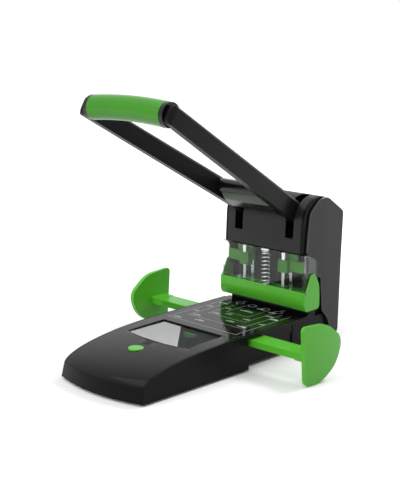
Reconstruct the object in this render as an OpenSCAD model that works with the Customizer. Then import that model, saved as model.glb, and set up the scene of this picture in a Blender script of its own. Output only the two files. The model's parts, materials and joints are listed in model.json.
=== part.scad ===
// Heavy-duty two-hole lever punch for paper stacks.
// Frame: +Z up, -Y towards the user, X across the machine.
// The origin lies on the floor, under the middle of the overall box.

/* [Base] */
// Height of the rubber feet under the base
foot_h = 3; // [2:0.5:6]
// Diameter of each rubber foot
foot_d = 16; // [10:1:22]
// Width of the base across its front corners
base_front_w = 171; // [168:1:176]
// Width of the base at the back of the front block
base_rear_w = 181; // [178:1:190]
// Length of the front block at its sides
block_len = 208.5; // [200:1:214]
// How far the front edge bows out in the middle
bow = 14.5; // [8:0.5:20]
// Height of the front face above the floor
nose_h = 21; // [19:0.5:26]
// Length over which the top rises from the front face to the table
rise_len = 165; // [120:1:190]
// Height of the table above the floor
table_h = 54; // [52:0.5:60]
// Width of the table plate
table_w = 175; // [174:0.5:177]
// Wall of the moulded base
base_wall = 3; // [2:0.25:4]

/* [Top cover] */
// Thickness of the glossy top cover
skin_t = 3; // [2:0.25:4]
// Width of the housing rim left beside the top cover
rim_w = 2.6; // [2:0.1:4]
// Gap between the top cover and the rim
cover_gap = 0.4; // [0.2:0.1:0.8]
// Width of the window in the top cover
window_w = 124; // [100:1:130]
// Length of the window in the top cover
window_len = 76; // [60:1:84]
// Distance from the front corners to the window
window_from_front = 108; // [104:1:118]
// Thickness of the window lens
lens_t = 2; // [1.5:0.25:2.5]
// Diameter of the round tray button
button_d = 23; // [18:0.5:26]
// Distance from the front corners to the button
button_from_front = 68; // [60:1:76]
// How far the button travels
button_travel = 2.5; // [1:0.5:3]

/* [Chip tray] */
// Width of the chip tray
tray_w = 118; // [90:1:124]
// Height of the chip tray walls
tray_h = 13; // [8:0.5:13]
// Wall of the chip tray
tray_wall = 2; // [1.5:0.25:3]

/* [Paper guide] */
// Depth of each guide bar, front to back
bar_d = 30; // [24:1:32]
// Height of each guide bar
bar_h = 10; // [7:0.5:10.5]
// Distance from the table's middle to the face that stops the paper
guide_out = 190; // [170:1:200]
// Module of the rack and pinion teeth
tooth_m = 1.5; // [1.25:0.25:1.5]
// Number of teeth on the pinion
pinion_teeth = 20; // [18:1:22]
// Number of teeth on each rack
rack_teeth = 36; // [24:1:36]
// Play between meshing teeth
backlash = 0.25; // [0.15:0.05:0.4]
// Distance of the pinion behind the front block
pinion_behind = 54.1; // [49.6:0.5:57.6]
// Width of each paddle, front to back
paddle_d = 82; // [70:1:84]
// Height of each paddle
paddle_h = 89; // [76:1:89]
// Thickness of each paddle at its rim
paddle_t = 6.5; // [4:0.5:9]
// How far the outer face of each paddle bulges
paddle_dome = 3; // [1:0.5:5]

/* [Punching] */
// Distance between the two punched holes
hole_spacing = 80; // [80:1:82]
// Diameter of the punch pins
pin_d = 6; // [5:0.25:6.5]
// Distance of the punch line behind the front block
punch_behind = 137; // [134.5:0.5:141.5]
// Distance from the paper stop to the punch line
hole_margin = 12; // [11:0.5:13]
// Height of the paper throat
throat_h = 8; // [6:0.5:9]
// Diameter of the chrome guide columns
column_d = 6.5; // [5:0.25:8]
// Distance of the guide columns behind the punch line
column_behind = 19.5; // [18:0.5:21]
// Radial clearance of running fits
run_fit = 0.05; // [0.02:0.01:0.1]

/* [Return spring] */
// Outer diameter of the return spring
spring_d = 16.6; // [14:0.2:17]
// Wire diameter of the return spring
wire_d = 2.5; // [1.5:0.1:2.8]
// Number of turns of the return spring
spring_turns = 8; // [5:1:8]
// Distance of the spring behind the punch line
spring_behind = 5.5; // [4:0.5:7]

/* [Head] */
// How far the head stands out past the clear shield on each side
ear_t = 1.6; // [1.2:0.2:2.4]
// Height of the head's front wall
head_h = 31; // [28:1:33]
// Height of the ears at the ends of the head
ear_h = 27; // [18:1:29]
// Thickness of the clear shield
shield_t = 2.4; // [1.6:0.2:3]
// Height of the clear shield's top above the floor
shield_top = 150.5; // [146:0.5:151]

/* [Tower] */
// Depth of the tower behind the punch line
tower_behind = 93.5; // [92:0.5:100]
// Height of the lever pivot above the floor
pivot_h = 198; // [196:0.5:204]
// Distance of the pivot behind the punch line
pivot_behind = 37.75; // [37:0.25:39]
// Radius of the rounded drum over the pivot
drum_r = 40; // [38.5:0.25:41]
// Thickness of the covers
cover_t = 2.4; // [1.6:0.2:3]
// Width of the covers between the side panels
cover_w = 158.8; // [156:0.4:159.2]
// Thickness of each side panel
panel_t = 3.6; // [2.4:0.2:3.8]
// Height of the cover's front edge above the floor
cover_bottom = 151.6; // [151.6:0.2:154]
// Width of the two slots for the handle
slot_w = 16; // [15.2:0.2:18]
// Height of the slots' lower ends above the floor
slot_bottom = 173.6; // [170:0.2:174.4]
// Diameter of the pivot shaft
shaft_d = 12; // [8:0.5:14]
// Room between each steel side plate and the side wall of the covers
plate_room = 6; // [4:0.5:8]
// Thickness of the steel side plates
plate_t = 3; // [2:0.5:4]

/* [Handle] */
// Angle of the raised handle above level
handle_rise = 30.5; // [26:0.5:32]
// Length from the pivot to the middle of the grip
handle_len = 371; // [330:1:380]
// Distance between the middles of the arms at the tower
arm_gap = 104; // [103:0.5:105]
// Distance between the middles of the arms at the grip
arm_spread = 169; // [160:1:174]
// Width of each arm at the tower
arm_w = 14; // [12:0.5:14.4]
// How much narrower each arm is at the grip
arm_taper = 3; // [0:0.5:4]
// Depth of each arm at the tower
arm_depth = 32; // [28:1:33]
// How much lower the top of each arm is at the grip
arm_drop = 4.5; // [0:0.5:6]
// Bevel along the top edges of each arm
arm_bevel = 5; // [2:0.5:6]
// Diameter of the grip
grip_d = 35.5; // [30:0.5:38]
// How far the grip bows up in the middle
grip_bow = 3.5; // [1:0.5:6]
// Thickness of the steel levers inside the arms
lever_t = 6; // [4:0.5:7]
// Distance from the pivot to the drive bar
crank_r = 25; // [23:0.5:26]
// Diameter of the drive bar
drive_d = 8; // [6:0.5:9]
// How far the handle swings down
handle_swing = 40; // [36:1:40]

/* [Hidden] */
$fn = 64;
eps = 0.01;
// Clearance of pieces that rest beside each other, and the wall of the chassis.
seat = 0.3;
wall = 3;

// Overall length and the reference lines along Y.
overall_len = bow + block_len + punch_behind + tower_behind;
front_y = bow - overall_len / 2;
block_y = front_y + block_len;
punch_y = block_y + punch_behind;
rear_y = punch_y + tower_behind;
pinion_y = block_y + pinion_behind;
pivot_y = punch_y + pivot_behind;
column_y = punch_y + column_behind;
spring_y = punch_y + spring_behind;
stop_y = punch_y + hole_margin;
window_y = front_y + window_from_front;
button_y = front_y + button_from_front;

// Plan radius and centre of the bowed front edge.
bow_r = (pow(base_front_w / 2, 2) + bow * bow) / (2 * bow);
bow_y = front_y - bow + bow_r;
nose_lean = 4.4;

// Levels and places inside the base.
plate_top = foot_h + 3;
deck_z = table_h - skin_t - 4;
bar_top = deck_z - 1;
bar_z = bar_top - bar_h;
carrier_top = bar_z - seat;
carrier_z = carrier_top - 3;
roof_t = skin_t + 3.5;
die_z = deck_z - 6;
die_front = punch_y - 15;
bush_d = 9.6;
chassis_w = 154;
chassis_back = rear_y - 14;
tray_z = plate_top + seat;
tray_back = punch_y + 16;
rib_x = tray_w / 2 + seat;
fascia_w = 164;
fascia_top = nose_h - 1.5;
finger_d = 30;

// Button: its top follows the height of the cover around it.
button_t = 1 - (button_from_front + bow - nose_lean) / rise_len;
button_top = nose_h + (table_h - nose_h) * sqrt(1 - button_t * button_t) + 0.8;
button_skirt = 6.5 + button_travel;
button_stem_d = 8;
button_floor = button_top - 23.55;

// Paper guide.
pitch_r = tooth_m * pinion_teeth / 2;
bar_front = pinion_y - pitch_r - 1.25 * tooth_m - bar_d;
bar_in = -8;
bar_out = guide_out - 20;
post_d = 8;

// Head, shield and throat.
head_z = table_h + throat_h;
head_top = head_z + head_h;
chamber_z = head_top - 5;
ear_top = head_top + ear_h;
head_front = punch_y - 7.5;
head_back = punch_y + 29.75;
stop_half = table_w / 2 - 7.5;
stripper_t = 2;
stripper_w = hole_spacing + 40;
panel_w = cover_w + 2 * (panel_t + 0.6);
shield_x = panel_w / 2 + 0.4 + shield_t;
shield_y = head_front + 1.2;
wing_back = punch_y + 25.25;
ear_x = shield_x + seat;
head_w = 2 * (shield_x + ear_t);
screw_x = stop_half - 10;
screw_y = stop_y + 9;
screw_d = 5;
column_z = head_z + 8;
shoulder_z = chamber_z + 25;
column_top = chamber_z + 82;
pin_top = cover_bottom - 2.6;

// Tower, lever and press.
drum_y = pivot_y - 0.5;
drum_z = pivot_h - 1;
tie_d = 8;
tie_places = [for (z = [plate_top + 20, chamber_z + 24, pivot_h - 26]) [rear_y - 20.7, z]];
stop_d = 8;
stop_rod = [pivot_y + 27, pivot_h - 18];
crank_a = handle_swing / 2;
frame_w = cover_w - 2 * (cover_t + plate_room);
drive_y = pivot_y - crank_r * cos(crank_a);
drive_z = pivot_h + crank_r * sin(crank_a);
hub_d = 26;
hub_half = frame_w / 2 - plate_t - 0.5;
heel_half = 18;
lever_len = 60;
beam_z = cover_bottom + 0.6;
beam_t = 8;
beam_w = 124;
beam_y0 = column_y - 8.75;
beam_y1 = column_y + 5.5;
bush_od = 9;
lug_x = 27.5;
lug_t = 7;
slot_y0 = pivot_y - crank_r - 0.2;
slot_y1 = drive_y + 0.2;
lug_y0 = slot_y0 - drive_d / 2 - 2.5;
lug_y1 = slot_y1 + drive_d / 2 + 2.5;
spring_top = beam_z - 6;

// Handle.
splay_from = 48;
arm_tip = handle_len + 19;
grip_n = -0.2;
core_d = 12;
core_half = arm_spread / 2 - 1;
collar_t = 7;
bridge_near = 46;
bridge_far = 111;

steel = [0.62, 0.64, 0.66];
green = [0.22, 0.55, 0.10];
black = [0.10, 0.10, 0.11];
gloss = [0.05, 0.05, 0.06];

// ---------------------------------------------------------------- helpers

function unit(v) = v / norm(v);
function flip(pts) = [for (i = [len(pts) - 1:-1:0]) pts[i]];
function turn_of(a, b, c) = cross([b.x - a.x, b.y - a.y], [c.x - b.x, c.y - b.y]) > 0 ? 1 : -1;

// Arc that rounds corner b of the outline between its neighbours a and c.
function corner(a, b, c, r, n) =
    let (p = [b.x, b.y],
         u = unit([a.x, a.y] - p),
         v = unit([c.x, c.y] - p),
         half = acos(u * v) / 2,
         mid = p + unit(u + v) * r / sin(half),
         from = p + u * r / tan(half) - mid,
         start = atan2(from.y, from.x),
         sweep = (180 - 2 * half) * turn_of(a, b, c))
    [for (i = [0:n]) mid + r * [cos(start + sweep * i / n), sin(start + sweep * i / n)]];

// Closed outline through corners [x, y, radius].
function outline(pts, n = 6) =
    let (m = len(pts))
    [for (i = [0:m - 1])
        each (pts[i][2] > 0
              ? corner(pts[(i + m - 1) % m], pts[i], pts[(i + 1) % m], pts[i][2], n)
              : [[pts[i].x, pts[i].y]])];

// The same corners moved inwards by t, for a wall of even thickness (corners run anticlockwise).
function inset(pts, t) =
    let (m = len(pts))
    [for (i = [0:m - 1])
        let (a = pts[(i + m - 1) % m],
             b = pts[i],
             c = pts[(i + 1) % m],
             p = [b.x, b.y],
             side = turn_of(a, b, c),
             u = unit([a.x, a.y] - p),
             v = unit([c.x, c.y] - p),
             q = p + side * unit(u + v) * t / sin(acos(u * v) / 2))
        [q.x, q.y, b[2] > 0 ? max(b[2] - side * t, 0.3) : 0]];

// Extrudes a (Y, Z) outline along X between x0 and x1.
module along_x(x0, x1) {
    translate([x0, 0, 0])
        rotate([90, 0, 90])
            linear_extrude(x1 - x0)
                children();
}

// Cylinder along X between x0 and x1.
module rod_x(x0, x1, d, y = 0, z = 0) {
    translate([x0, y, z])
        rotate([0, 90, 0])
            cylinder(h = x1 - x0, d = d);
}

module rod_z(x, y, z0, z1, d) {
    translate([x, y, z0])
        cylinder(h = z1 - z0, d = d);
}

// Box given by its lowest and highest corners.
module block(low, high) {
    translate(low)
        cube(high - low);
}

module both_sides() {
    children();
    mirror([1, 0, 0])
        children();
}

// Solid through rings of points that all have the same count.
module loft(rings) {
    n = len(rings[0]);
    m = len(rings);
    points = [for (ring = rings) each ring];
    sides = [for (i = [0:m - 2], j = [0:n - 1])
        let (a = i * n + j, b = i * n + (j + 1) % n)
        each [[a, a + n, b], [b, a + n, b + n]]];
    first = [[for (j = [0:n - 1]) j]];
    last = [[for (j = [n - 1:-1:0]) (m - 1) * n + j]];
    polyhedron(points = points, faces = concat(sides, first, last), convexity = 6);
}

// ---------------------------------------------------------------- base

// Half width of the base at distance d behind the front corners, at the floor or at the table.
function foot_half(d) = (base_front_w + (base_rear_w - base_front_w) * d / block_len) / 2;
function top_half(d) = foot_half(d) - (foot_half(block_len) - table_w / 2);

// Everything between the drafted side walls, less a margin on each side.
module between_sides(margin = 0) {
    near = -bow - 5;
    far = block_len;
    loft([for (level = [[foot_h - eps, 0], [table_h + 1, 1]])
        let (a = (level[1] == 0 ? foot_half(near) : top_half(near)) - margin,
             b = (level[1] == 0 ? foot_half(far) : top_half(far)) - margin)
        [[-a, front_y + near, level[0]], [a, front_y + near, level[0]],
         [b, front_y + far, level[0]], [-b, front_y + far, level[0]]]]);
}

// Bowed front block: a leaning front face, then a quarter ellipse up to the table.
// drop lowers the top, back moves the front face inwards.
module nose_solid(drop = 0, back = 0) {
    curve = [for (i = [0:14])
        [bow_r - nose_lean - back - rise_len * (1 - cos(i * 90 / 14)),
         nose_h - drop + (table_h - nose_h) * sin(i * 90 / 14)]];
    translate([0, bow_y, 0])
        rotate([0, 0, 180])
            rotate_extrude($fn = 144)
                polygon(concat([[0, foot_h], [bow_r - back, foot_h]], curve, [[0, table_h - drop]]));
}

// Front block with straight sides, cut off square behind.
module front_block(drop = 0, back = 0, margin = 0, low = foot_h) {
    intersection() {
        nose_solid(drop, back);
        between_sides(margin);
        block([-100, front_y - bow - 1, low], [100, block_y, table_h + 1]);
    }
}

// Room for the top cover, or the cover itself with a gap all round.
module cover_room(gap) {
    half = table_w / 2 - rim_w - gap;
    edge = bow_r - nose_lean - 1.2 - gap;
    difference() {
        intersection() {
            union() {
                front_block(0, 0, rim_w + gap);
                block([-half, block_y - 1, table_h - skin_t], [half, stop_y - seat, table_h]);
            }
            translate([0, bow_y, 0])
                cylinder(h = table_h + 2, r = edge, $fn = 144);
            block([-100, front_y - bow, fascia_top + seat], [100, stop_y, table_h + 1]);
        }
        intersection() {
            nose_solid(skin_t, skin_t - 0.8);
            block([-110, front_y - bow - 1, 0], [110, block_y + 1, table_h]);
        }
        block([-110, block_y - 2, 0], [110, stop_y + 2, table_h - skin_t]);
    }
}

module window_outline(grow = 0) {
    w = window_w / 2 + grow;
    sag = 6;
    r = (w * w + sag * sag) / (2 * sag);
    intersection() {
        translate([-w, window_y - sag - grow])
            square([2 * w, window_len + sag + 2 * grow]);
        translate([0, window_y - sag - grow + r])
            circle(r = r, $fn = 144);
    }
}

module over_dies(d) {
    for (side = [-1, 1])
        rod_z(side * hole_spacing / 2, punch_y, die_z - 1, table_h + 1, d);
}

module base_shell() {
    color(black)
    difference() {
        union() {
            difference() {
                front_block();
                front_block(roof_t, nose_lean + base_wall, base_wall, foot_h - 1);
            }
            block([-table_w / 2, block_y - eps, table_h - skin_t - 1.4], [table_w / 2, punch_y + 3, table_h]);
            block([-chassis_w / 2, block_y - eps, deck_z], [chassis_w / 2, stop_y - seat, table_h - skin_t]);
            // Long ribs that stand on the base plate and guide the tray.
            intersection() {
                front_block(skin_t + 1, 10, 8);
                both_sides()
                    block([rib_x, front_y + 16, plate_top], [rib_x + 3, block_y - 1, table_h]);
            }
            rod_z(0, button_y, button_floor, button_floor + 16, button_d + 6);
        }
        cover_room(0);
        block([-table_w / 2 + rim_w, punch_y - 1, table_h - skin_t],
              [table_w / 2 - rim_w, punch_y + 4, table_h + 1]);
        // Way through the back wall for the tray and the chassis.
        block([-chassis_w / 2 - seat, block_y - base_wall - 2, foot_h - 1],
              [chassis_w / 2 + seat, block_y + eps, deck_z]);
        // Opening in the front face for the tray.
        block([-fascia_w / 2 - seat, front_y - bow - 1, foot_h - 1],
              [fascia_w / 2 + seat, front_y + 13, fascia_top + seat]);
        // Window pocket.
        translate([0, 0, table_h - skin_t - 1.4])
            linear_extrude(4)
                window_outline(-2);
        // Button well.
        rod_z(0, button_y, button_floor + 2, table_h, button_d + 1);
        rod_z(0, button_y, button_floor - 1, table_h, button_stem_d + 2 * seat);
        over_dies(bush_d + 2 * seat);
    }
}

module top_cover() {
    color(gloss)
    difference() {
        cover_room(cover_gap);
        translate([0, 0, table_h - 10])
            linear_extrude(20)
                window_outline(-1.4);
        translate([0, 0, table_h - lens_t - 0.2])
            linear_extrude(20)
                window_outline(seat);
        translate([0, window_y - 5, table_h - lens_t - 0.2])
            cylinder(h = 10, d = finger_d);
        rod_z(0, button_y, nose_h, table_h + 10, button_d + 2 * seat);
        over_dies(bush_d + 2 * seat);
    }
}

module window_lens() {
    color([0.55, 0.58, 0.58, 0.5])
    difference() {
        translate([0, 0, table_h - lens_t - 0.2])
            linear_extrude(lens_t)
                window_outline();
        translate([0, window_y - 5, table_h - 6])
            cylinder(h = 10, d = finger_d);
    }
}

module format_card() {
    color([0.06, 0.12, 0.07])
        translate([0, 0, table_h - skin_t - 1.4])
            linear_extrude(1)
                window_outline(-2.3);
}

module tray_button() {
    color(green)
    union() {
        rod_z(0, button_y, button_top - button_skirt, button_top, button_d);
        rod_z(0, button_y, button_floor - 1.5, button_top - button_skirt + eps, button_stem_d);
    }
}

module button_spring() {
    color(steel)
        coil(0, button_y, button_floor + 2, button_top - button_skirt, button_stem_d + 4.4, 1.4, 3);
}

module chip_tray() {
    color(black)
    union() {
        difference() {
            block([-tray_w / 2, front_y - 1, tray_z], [tray_w / 2, tray_back, tray_z + tray_h]);
            block([-tray_w / 2 + tray_wall, front_y + tray_wall, tray_z + tray_wall],
                  [tray_w / 2 - tray_wall, tray_back - tray_wall, tray_z + tray_h + 1]);
        }
        // Bowed fascia that closes the front of the base.
        intersection() {
            difference() {
                nose_solid();
                nose_solid(0, 3.5);
            }
            between_sides();
            block([-fascia_w / 2, front_y - bow - 1, foot_h + 0.6], [fascia_w / 2, front_y + 12, fascia_top]);
        }
        intersection() {
            nose_solid(0, 3.4);
            block([-tray_w / 2, front_y - bow, tray_z], [tray_w / 2, front_y, fascia_top - 0.5]);
        }
    }
}

module rubber_feet() {
    color([0.05, 0.05, 0.05])
    both_sides() {
        rod_z(70, front_y + 22, 0, foot_h, foot_d);
        rod_z(70, block_y - 20, 0, foot_h, foot_d);
        rod_z(62, rear_y - 26, 0, foot_h, foot_d);
    }
}

module base_plate() {
    color(steel)
    union() {
        block([-78, front_y + 13, foot_h], [78, block_y - base_wall - 2.5, plate_top]);
        block([-chassis_w / 2, block_y - base_wall - 3, foot_h], [chassis_w / 2, chassis_back, plate_top]);
    }
}

// ---------------------------------------------------------------- chassis

module chassis() {
    w = chassis_w / 2;
    color(black)
    difference() {
        union() {
            block([-w, block_y + eps, plate_top], [w, chassis_back, deck_z]);
            block([-w, block_y - base_wall - 2, plate_top], [w, block_y + 1, deck_z - 2]);
        }
        difference() {
            block([-w + wall, block_y - 20, 0], [w - wall, chassis_back - wall, deck_z + 1]);
            // Ledges for the guide deck and the die plate.
            both_sides() {
                block([w - wall - 4, block_y - 4, carrier_z - 4], [w, die_front - 1, carrier_z]);
                block([w - wall - 4, die_front - 1, carrier_z - 4], [w, column_y + 10, die_z]);
            }
        }
        // Way out for the two guide bars.
        guide_opening();
        turned()
            guide_opening();
        // Recesses and grooves in the outer faces.
        both_sides() {
            block([w - 1.5, punch_y - 57.5, plate_top + 10], [w + 1, punch_y - 23.5, plate_top + 26]);
            block([w - 1.2, punch_y - 23, plate_top - 1], [w + 1, punch_y - 21, deck_z + 1]);
        }
        for (at = tie_places)
            rod_x(-w - 1, w + 1, tie_d + 2 * seat, at.x, at.y);
    }
}

module guide_opening() {
    block([chassis_w / 2 - wall - 1, bar_front - 0.8, carrier_top],
          [chassis_w / 2 + 1, bar_front + bar_d + 2.25 * tooth_m + 0.8, deck_z + 1]);
}

// The left guide is the right one turned half round about the pinion.
module turned() {
    translate([0, pinion_y, 0])
        rotate([0, 0, 180])
            translate([0, -pinion_y, 0])
                children();
}

module die_plate() {
    w = chassis_w / 2 - wall - seat;
    color(steel)
    difference() {
        block([-w, die_front, die_z], [w, head_back, deck_z]);
        for (side = [-1, 1]) {
            rod_z(side * hole_spacing / 2, punch_y, die_z - 1, deck_z + 1, bush_d);
            rod_z(side * screw_x, screw_y, die_z - 1, deck_z + 1, screw_d);
        }
    }
}

module die_bushes() {
    color(steel)
    for (side = [-1, 1])
        translate([side * hole_spacing / 2, punch_y, 0])
            difference() {
                rod_z(0, 0, die_z, table_h - 0.2, bush_d);
                rod_z(0, 0, die_z - 1, table_h + 1, pin_d + 2 * run_fit);
                rod_z(0, 0, die_z - 1, deck_z, pin_d + 1.5);
            }
}

module back_stop() {
    color(black)
    difference() {
        block([-stop_half, stop_y, deck_z], [stop_half, head_back, head_z]);
        for (side = [-1, 1])
            rod_z(side * screw_x, screw_y, deck_z - 1, head_z + 1, screw_d + 2 * seat);
    }
}

// ---------------------------------------------------------------- paper guide

module guide_carrier() {
    w = chassis_w / 2 - wall - seat;
    color(black)
    difference() {
        union() {
            block([-w, block_y + 1, carrier_z], [w, die_front - 1.5, carrier_top]);
            guide_rib();
            turned()
                guide_rib();
        }
        rod_z(0, pinion_y, carrier_z - 1, carrier_top + 1, post_d);
    }
}

module guide_rib() {
    w = chassis_w / 2 - wall - seat;
    block([-w, bar_front - 3, carrier_top - eps], [w, bar_front - 0.3, deck_z - 0.3]);
}

module pinion_post() {
    color(steel)
        rod_z(0, pinion_y, carrier_z, deck_z, post_d);
}

pitch = PI * tooth_m;
base_r = pitch_r * cos(20);
tip_r = pitch_r + tooth_m;
root_r = pitch_r - 1.25 * tooth_m;

// Angle swept by the involute from its start to radius r.
function involute(r) =
    let (t = sqrt(pow(r / base_r, 2) - 1))
    t * 180 / PI - atan(t);

// Half the angle that a tooth takes at radius r.
function tooth_half(r) =
    90 / pinion_teeth - backlash * 45 / (PI * pitch_r) + involute(pitch_r) - involute(max(r, base_r));

module pinion() {
    radii = concat([root_r - 0.5], [for (i = [0:4]) base_r + (tip_r - base_r) * i / 4]);
    color(steel)
    translate([0, pinion_y, bar_z])
        linear_extrude(bar_h)
            difference() {
                union() {
                    circle(r = root_r);
                    for (k = [0:pinion_teeth - 1])
                        rotate([0, 0, 90 + k * 360 / pinion_teeth])
                            polygon(concat(
                                [for (r = radii) r * [cos(tooth_half(r)), -sin(tooth_half(r))]],
                                [for (r = flip(radii)) r * [cos(tooth_half(r)), sin(tooth_half(r))]]));
                }
                circle(d = post_d + 2 * run_fit);
            }
}

// Toothed bar in the place of the right one.
module guide_bar() {
    line = pinion_y - pitch_r;
    root = line - 1.25 * tooth_m;
    tip = line + tooth_m;
    root_half = pitch / 4 - backlash / 4 + 1.25 * tooth_m * tan(20);
    tip_half = pitch / 4 - backlash / 4 - tooth_m * tan(20);
    teeth = [for (k = [rack_teeth - 2:-1:-1])
        let (x = (k + 0.5) * pitch)
        each [[x + root_half, root], [x + tip_half, tip], [x - tip_half, tip], [x - root_half, root]]];
    color(green)
    union() {
        translate([0, 0, bar_z])
            linear_extrude(bar_h)
                polygon(concat([[bar_in, root], [bar_in, bar_front + 2], [bar_in + 2, bar_front],
                                [bar_out, bar_front], [bar_out, root]], teeth));
        block([bar_out - 4, bar_front + 3, bar_z + 2], [guide_out - 3, root - 3, bar_top - 2]);
    }
}

// Paddle in the place of the right one.
module guide_paddle() {
    root = pinion_y - pitch_r - 1.25 * tooth_m;
    k = paddle_d / 82;
    top = 0.6 + paddle_h;
    centre = [bar_front + 30, top / 2];
    corners = [[bar_front - 6.5, 0.6, 12], [bar_front + 27.5 * k, 0.6, 50 * k],
               [bar_front + 64 * k, 0.245 * top, 50 * k], [bar_front + 75 * k, 0.655 * top, 20],
               [bar_front + 38 * k, 0.96 * top, 50 * k], [bar_front - 13, top + 0.6, 7]];
    bulge_r = (1936 + paddle_dome * paddle_dome) / (2 * paddle_dome);
    crown = paddle_t + paddle_dome + 1;
    color(green)
    difference() {
        union() {
            intersection() {
                along_x(guide_out, guide_out + crown)
                    polygon(outline(corners, 7));
                translate([guide_out + crown - 1 - bulge_r, centre.x, centre.y])
                    sphere(r = bulge_r, $fn = 300);
            }
            block([bar_out + 0.1, bar_front - 0.6, bar_z - 1], [guide_out + 1, root + 0.6, bar_top + 0.6]);
        }
        block([bar_out - 1, bar_front + 2.9, bar_z + 1.9], [guide_out - 2.9, root - 2.9, bar_top - 1.9]);
    }
}

// ---------------------------------------------------------------- head

head_profile = [[head_front + 4.7, head_z, 3], [head_back, head_z, 6], [head_back, chamber_z, 0],
                [head_front + 3, chamber_z, 0], [head_front + 1, head_top, 0],
                [head_front - 0.7, head_top, 0.6], [head_front - 2, head_z + 14, 30]];

module head_body() {
    half = head_w / 2;
    ear = [[head_front + 2.5, chamber_z - 3, 0], [head_back - 0.6, chamber_z - 3, 0],
           [head_back - 0.6, ear_top - 20, 30], [head_back - 13, ear_top + 1, 5],
           [head_back - 22, ear_top - 1.5, 5], [head_front + 4, head_top + 1, 4]];
    color(green)
    difference() {
        union() {
            along_x(-half, half)
                polygon(outline(head_profile, 6));
            both_sides()
                along_x(ear_x, half)
                    polygon(outline(ear, 6));
        }
        // Rounded front corners.
        both_sides()
            translate([half - 6.6, head_front + 4, 0])
                linear_extrude(ear_top + 10)
                    polygon(concat([[0, -9], [9, -9], [9, 1]],
                                   [for (i = [0:6]) 7 * [cos(5 - i * 95 / 6), sin(5 - i * 95 / 6)]]));
        shield_solid(0.1);
        // Recess for the stripper plate and the bores below the chamber.
        block([-stripper_w / 2, stop_y - 17, head_z - 1], [stripper_w / 2, stop_y - 4, head_z + stripper_t]);
        for (side = [-1, 1]) {
            rod_z(side * hole_spacing / 2, punch_y, head_z - 1, chamber_z + 1, pin_d + 2 * run_fit);
            rod_z(side * hole_spacing / 2, column_y, column_z, chamber_z + 1, column_d);
            rod_z(side * screw_x, screw_y, head_z - 1, chamber_z + 1, screw_d + 2 * seat);
        }
    }
}

module stripper_plate() {
    color(steel)
    difference() {
        block([-stripper_w / 2, stop_y - 17, head_z + 0.1],
              [stripper_w / 2, stop_y - 4, head_z + stripper_t]);
        for (side = [-1, 1])
            rod_z(side * hole_spacing / 2, punch_y, head_z - 1, head_z + 5, pin_d + 2 * run_fit);
    }
}

module head_screws() {
    color(steel)
    for (side = [-1, 1])
        difference() {
            union() {
                rod_z(side * screw_x, screw_y, chamber_z, chamber_z + 4, 9);
                rod_z(side * screw_x, screw_y, die_z, chamber_z + 1, screw_d);
            }
            translate([side * screw_x, screw_y, chamber_z + 1.5])
                cylinder(h = 5, d = 4.6, $fn = 6);
        }
}

// The shield grown by a margin.
module shield_solid(grow = 0) {
    front = shield_y;
    low = chamber_z - grow;
    intersection() {
        difference() {
            block([-shield_x - grow, front - grow, low], [shield_x + grow, wing_back + grow, shield_top]);
            block([-shield_x + shield_t + grow, front + shield_t + grow, low - 1],
                  [shield_x - shield_t - grow, wing_back + 5, shield_top + 1]);
            both_sides()
                difference() {
                    block([shield_x - 6, front - 2, low - 1],
                          [shield_x + 2, front + 5 - grow, shield_top + 1]);
                    rod_z(shield_x - 6, front + 6, low - 1, shield_top + 1, 12 + 2 * grow);
                }
        }
        along_x(-shield_x - 2, shield_x + 2)
            polygon([[front - grow, low], [wing_back + grow, low], [wing_back + grow, shield_top - 25],
                     [wing_back - 1, shield_top - 14], [wing_back - 6, shield_top - 7],
                     [wing_back - 18, shield_top - 2], [front + 12, shield_top], [front - grow, shield_top]]);
    }
}

module clear_shield() {
    color([0.8, 0.85, 0.85, 0.35])
        shield_solid();
}

module guide_columns() {
    color(steel)
    for (side = [-1, 1])
        translate([side * hole_spacing / 2, column_y, 0]) {
            rod_z(0, 0, column_z, shoulder_z, column_d);
            rod_z(0, 0, shoulder_z - 3, shoulder_z, column_d + 3);
            rod_z(0, 0, shoulder_z - eps, column_top, column_d - 1.5);
        }
}

module chamber_wall() {
    sheet = 2.4;
    color(black)
    union() {
        block([-cover_w / 2, head_back - sheet, chamber_z], [cover_w / 2, head_back, cover_bottom - 4]);
        // A return at each end closes the gap to the side panel's lower half.
        both_sides()
            block([cover_w / 2 - sheet, head_back - sheet, chamber_z],
                  [cover_w / 2, head_back + 9, chamber_z + 23]);
    }
}

// ---------------------------------------------------------------- tower

module side_plate() {
    low_y = head_back + 0.25;
    corners = [[low_y, plate_top, 0], [chassis_back - wall - 1, plate_top, 0],
               [chassis_back - wall - 1, deck_z + 2, 40], [rear_y - 12, cover_bottom - 2, 60],
               [rear_y - 18, pivot_h + 12, 20], [pivot_y + 12, drum_z + drum_r - 9, 16],
               [pivot_y - 18, drum_z + drum_r - 12, 16], [pivot_y - 26, pivot_h - 4, 20],
               [pivot_y - 24, pivot_h - 32, 8], [low_y, cover_bottom, 3]];
    color(steel)
    difference() {
        along_x(frame_w / 2 - plate_t, frame_w / 2)
            polygon(outline(corners, 6));
        rod_x(0, 100, shaft_d + 6, pivot_y, pivot_h);
        for (at = tie_places)
            rod_x(0, 100, tie_d, at.x, at.y);
        rod_x(0, 100, stop_d, stop_rod.x, stop_rod.y);
    }
}

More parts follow.
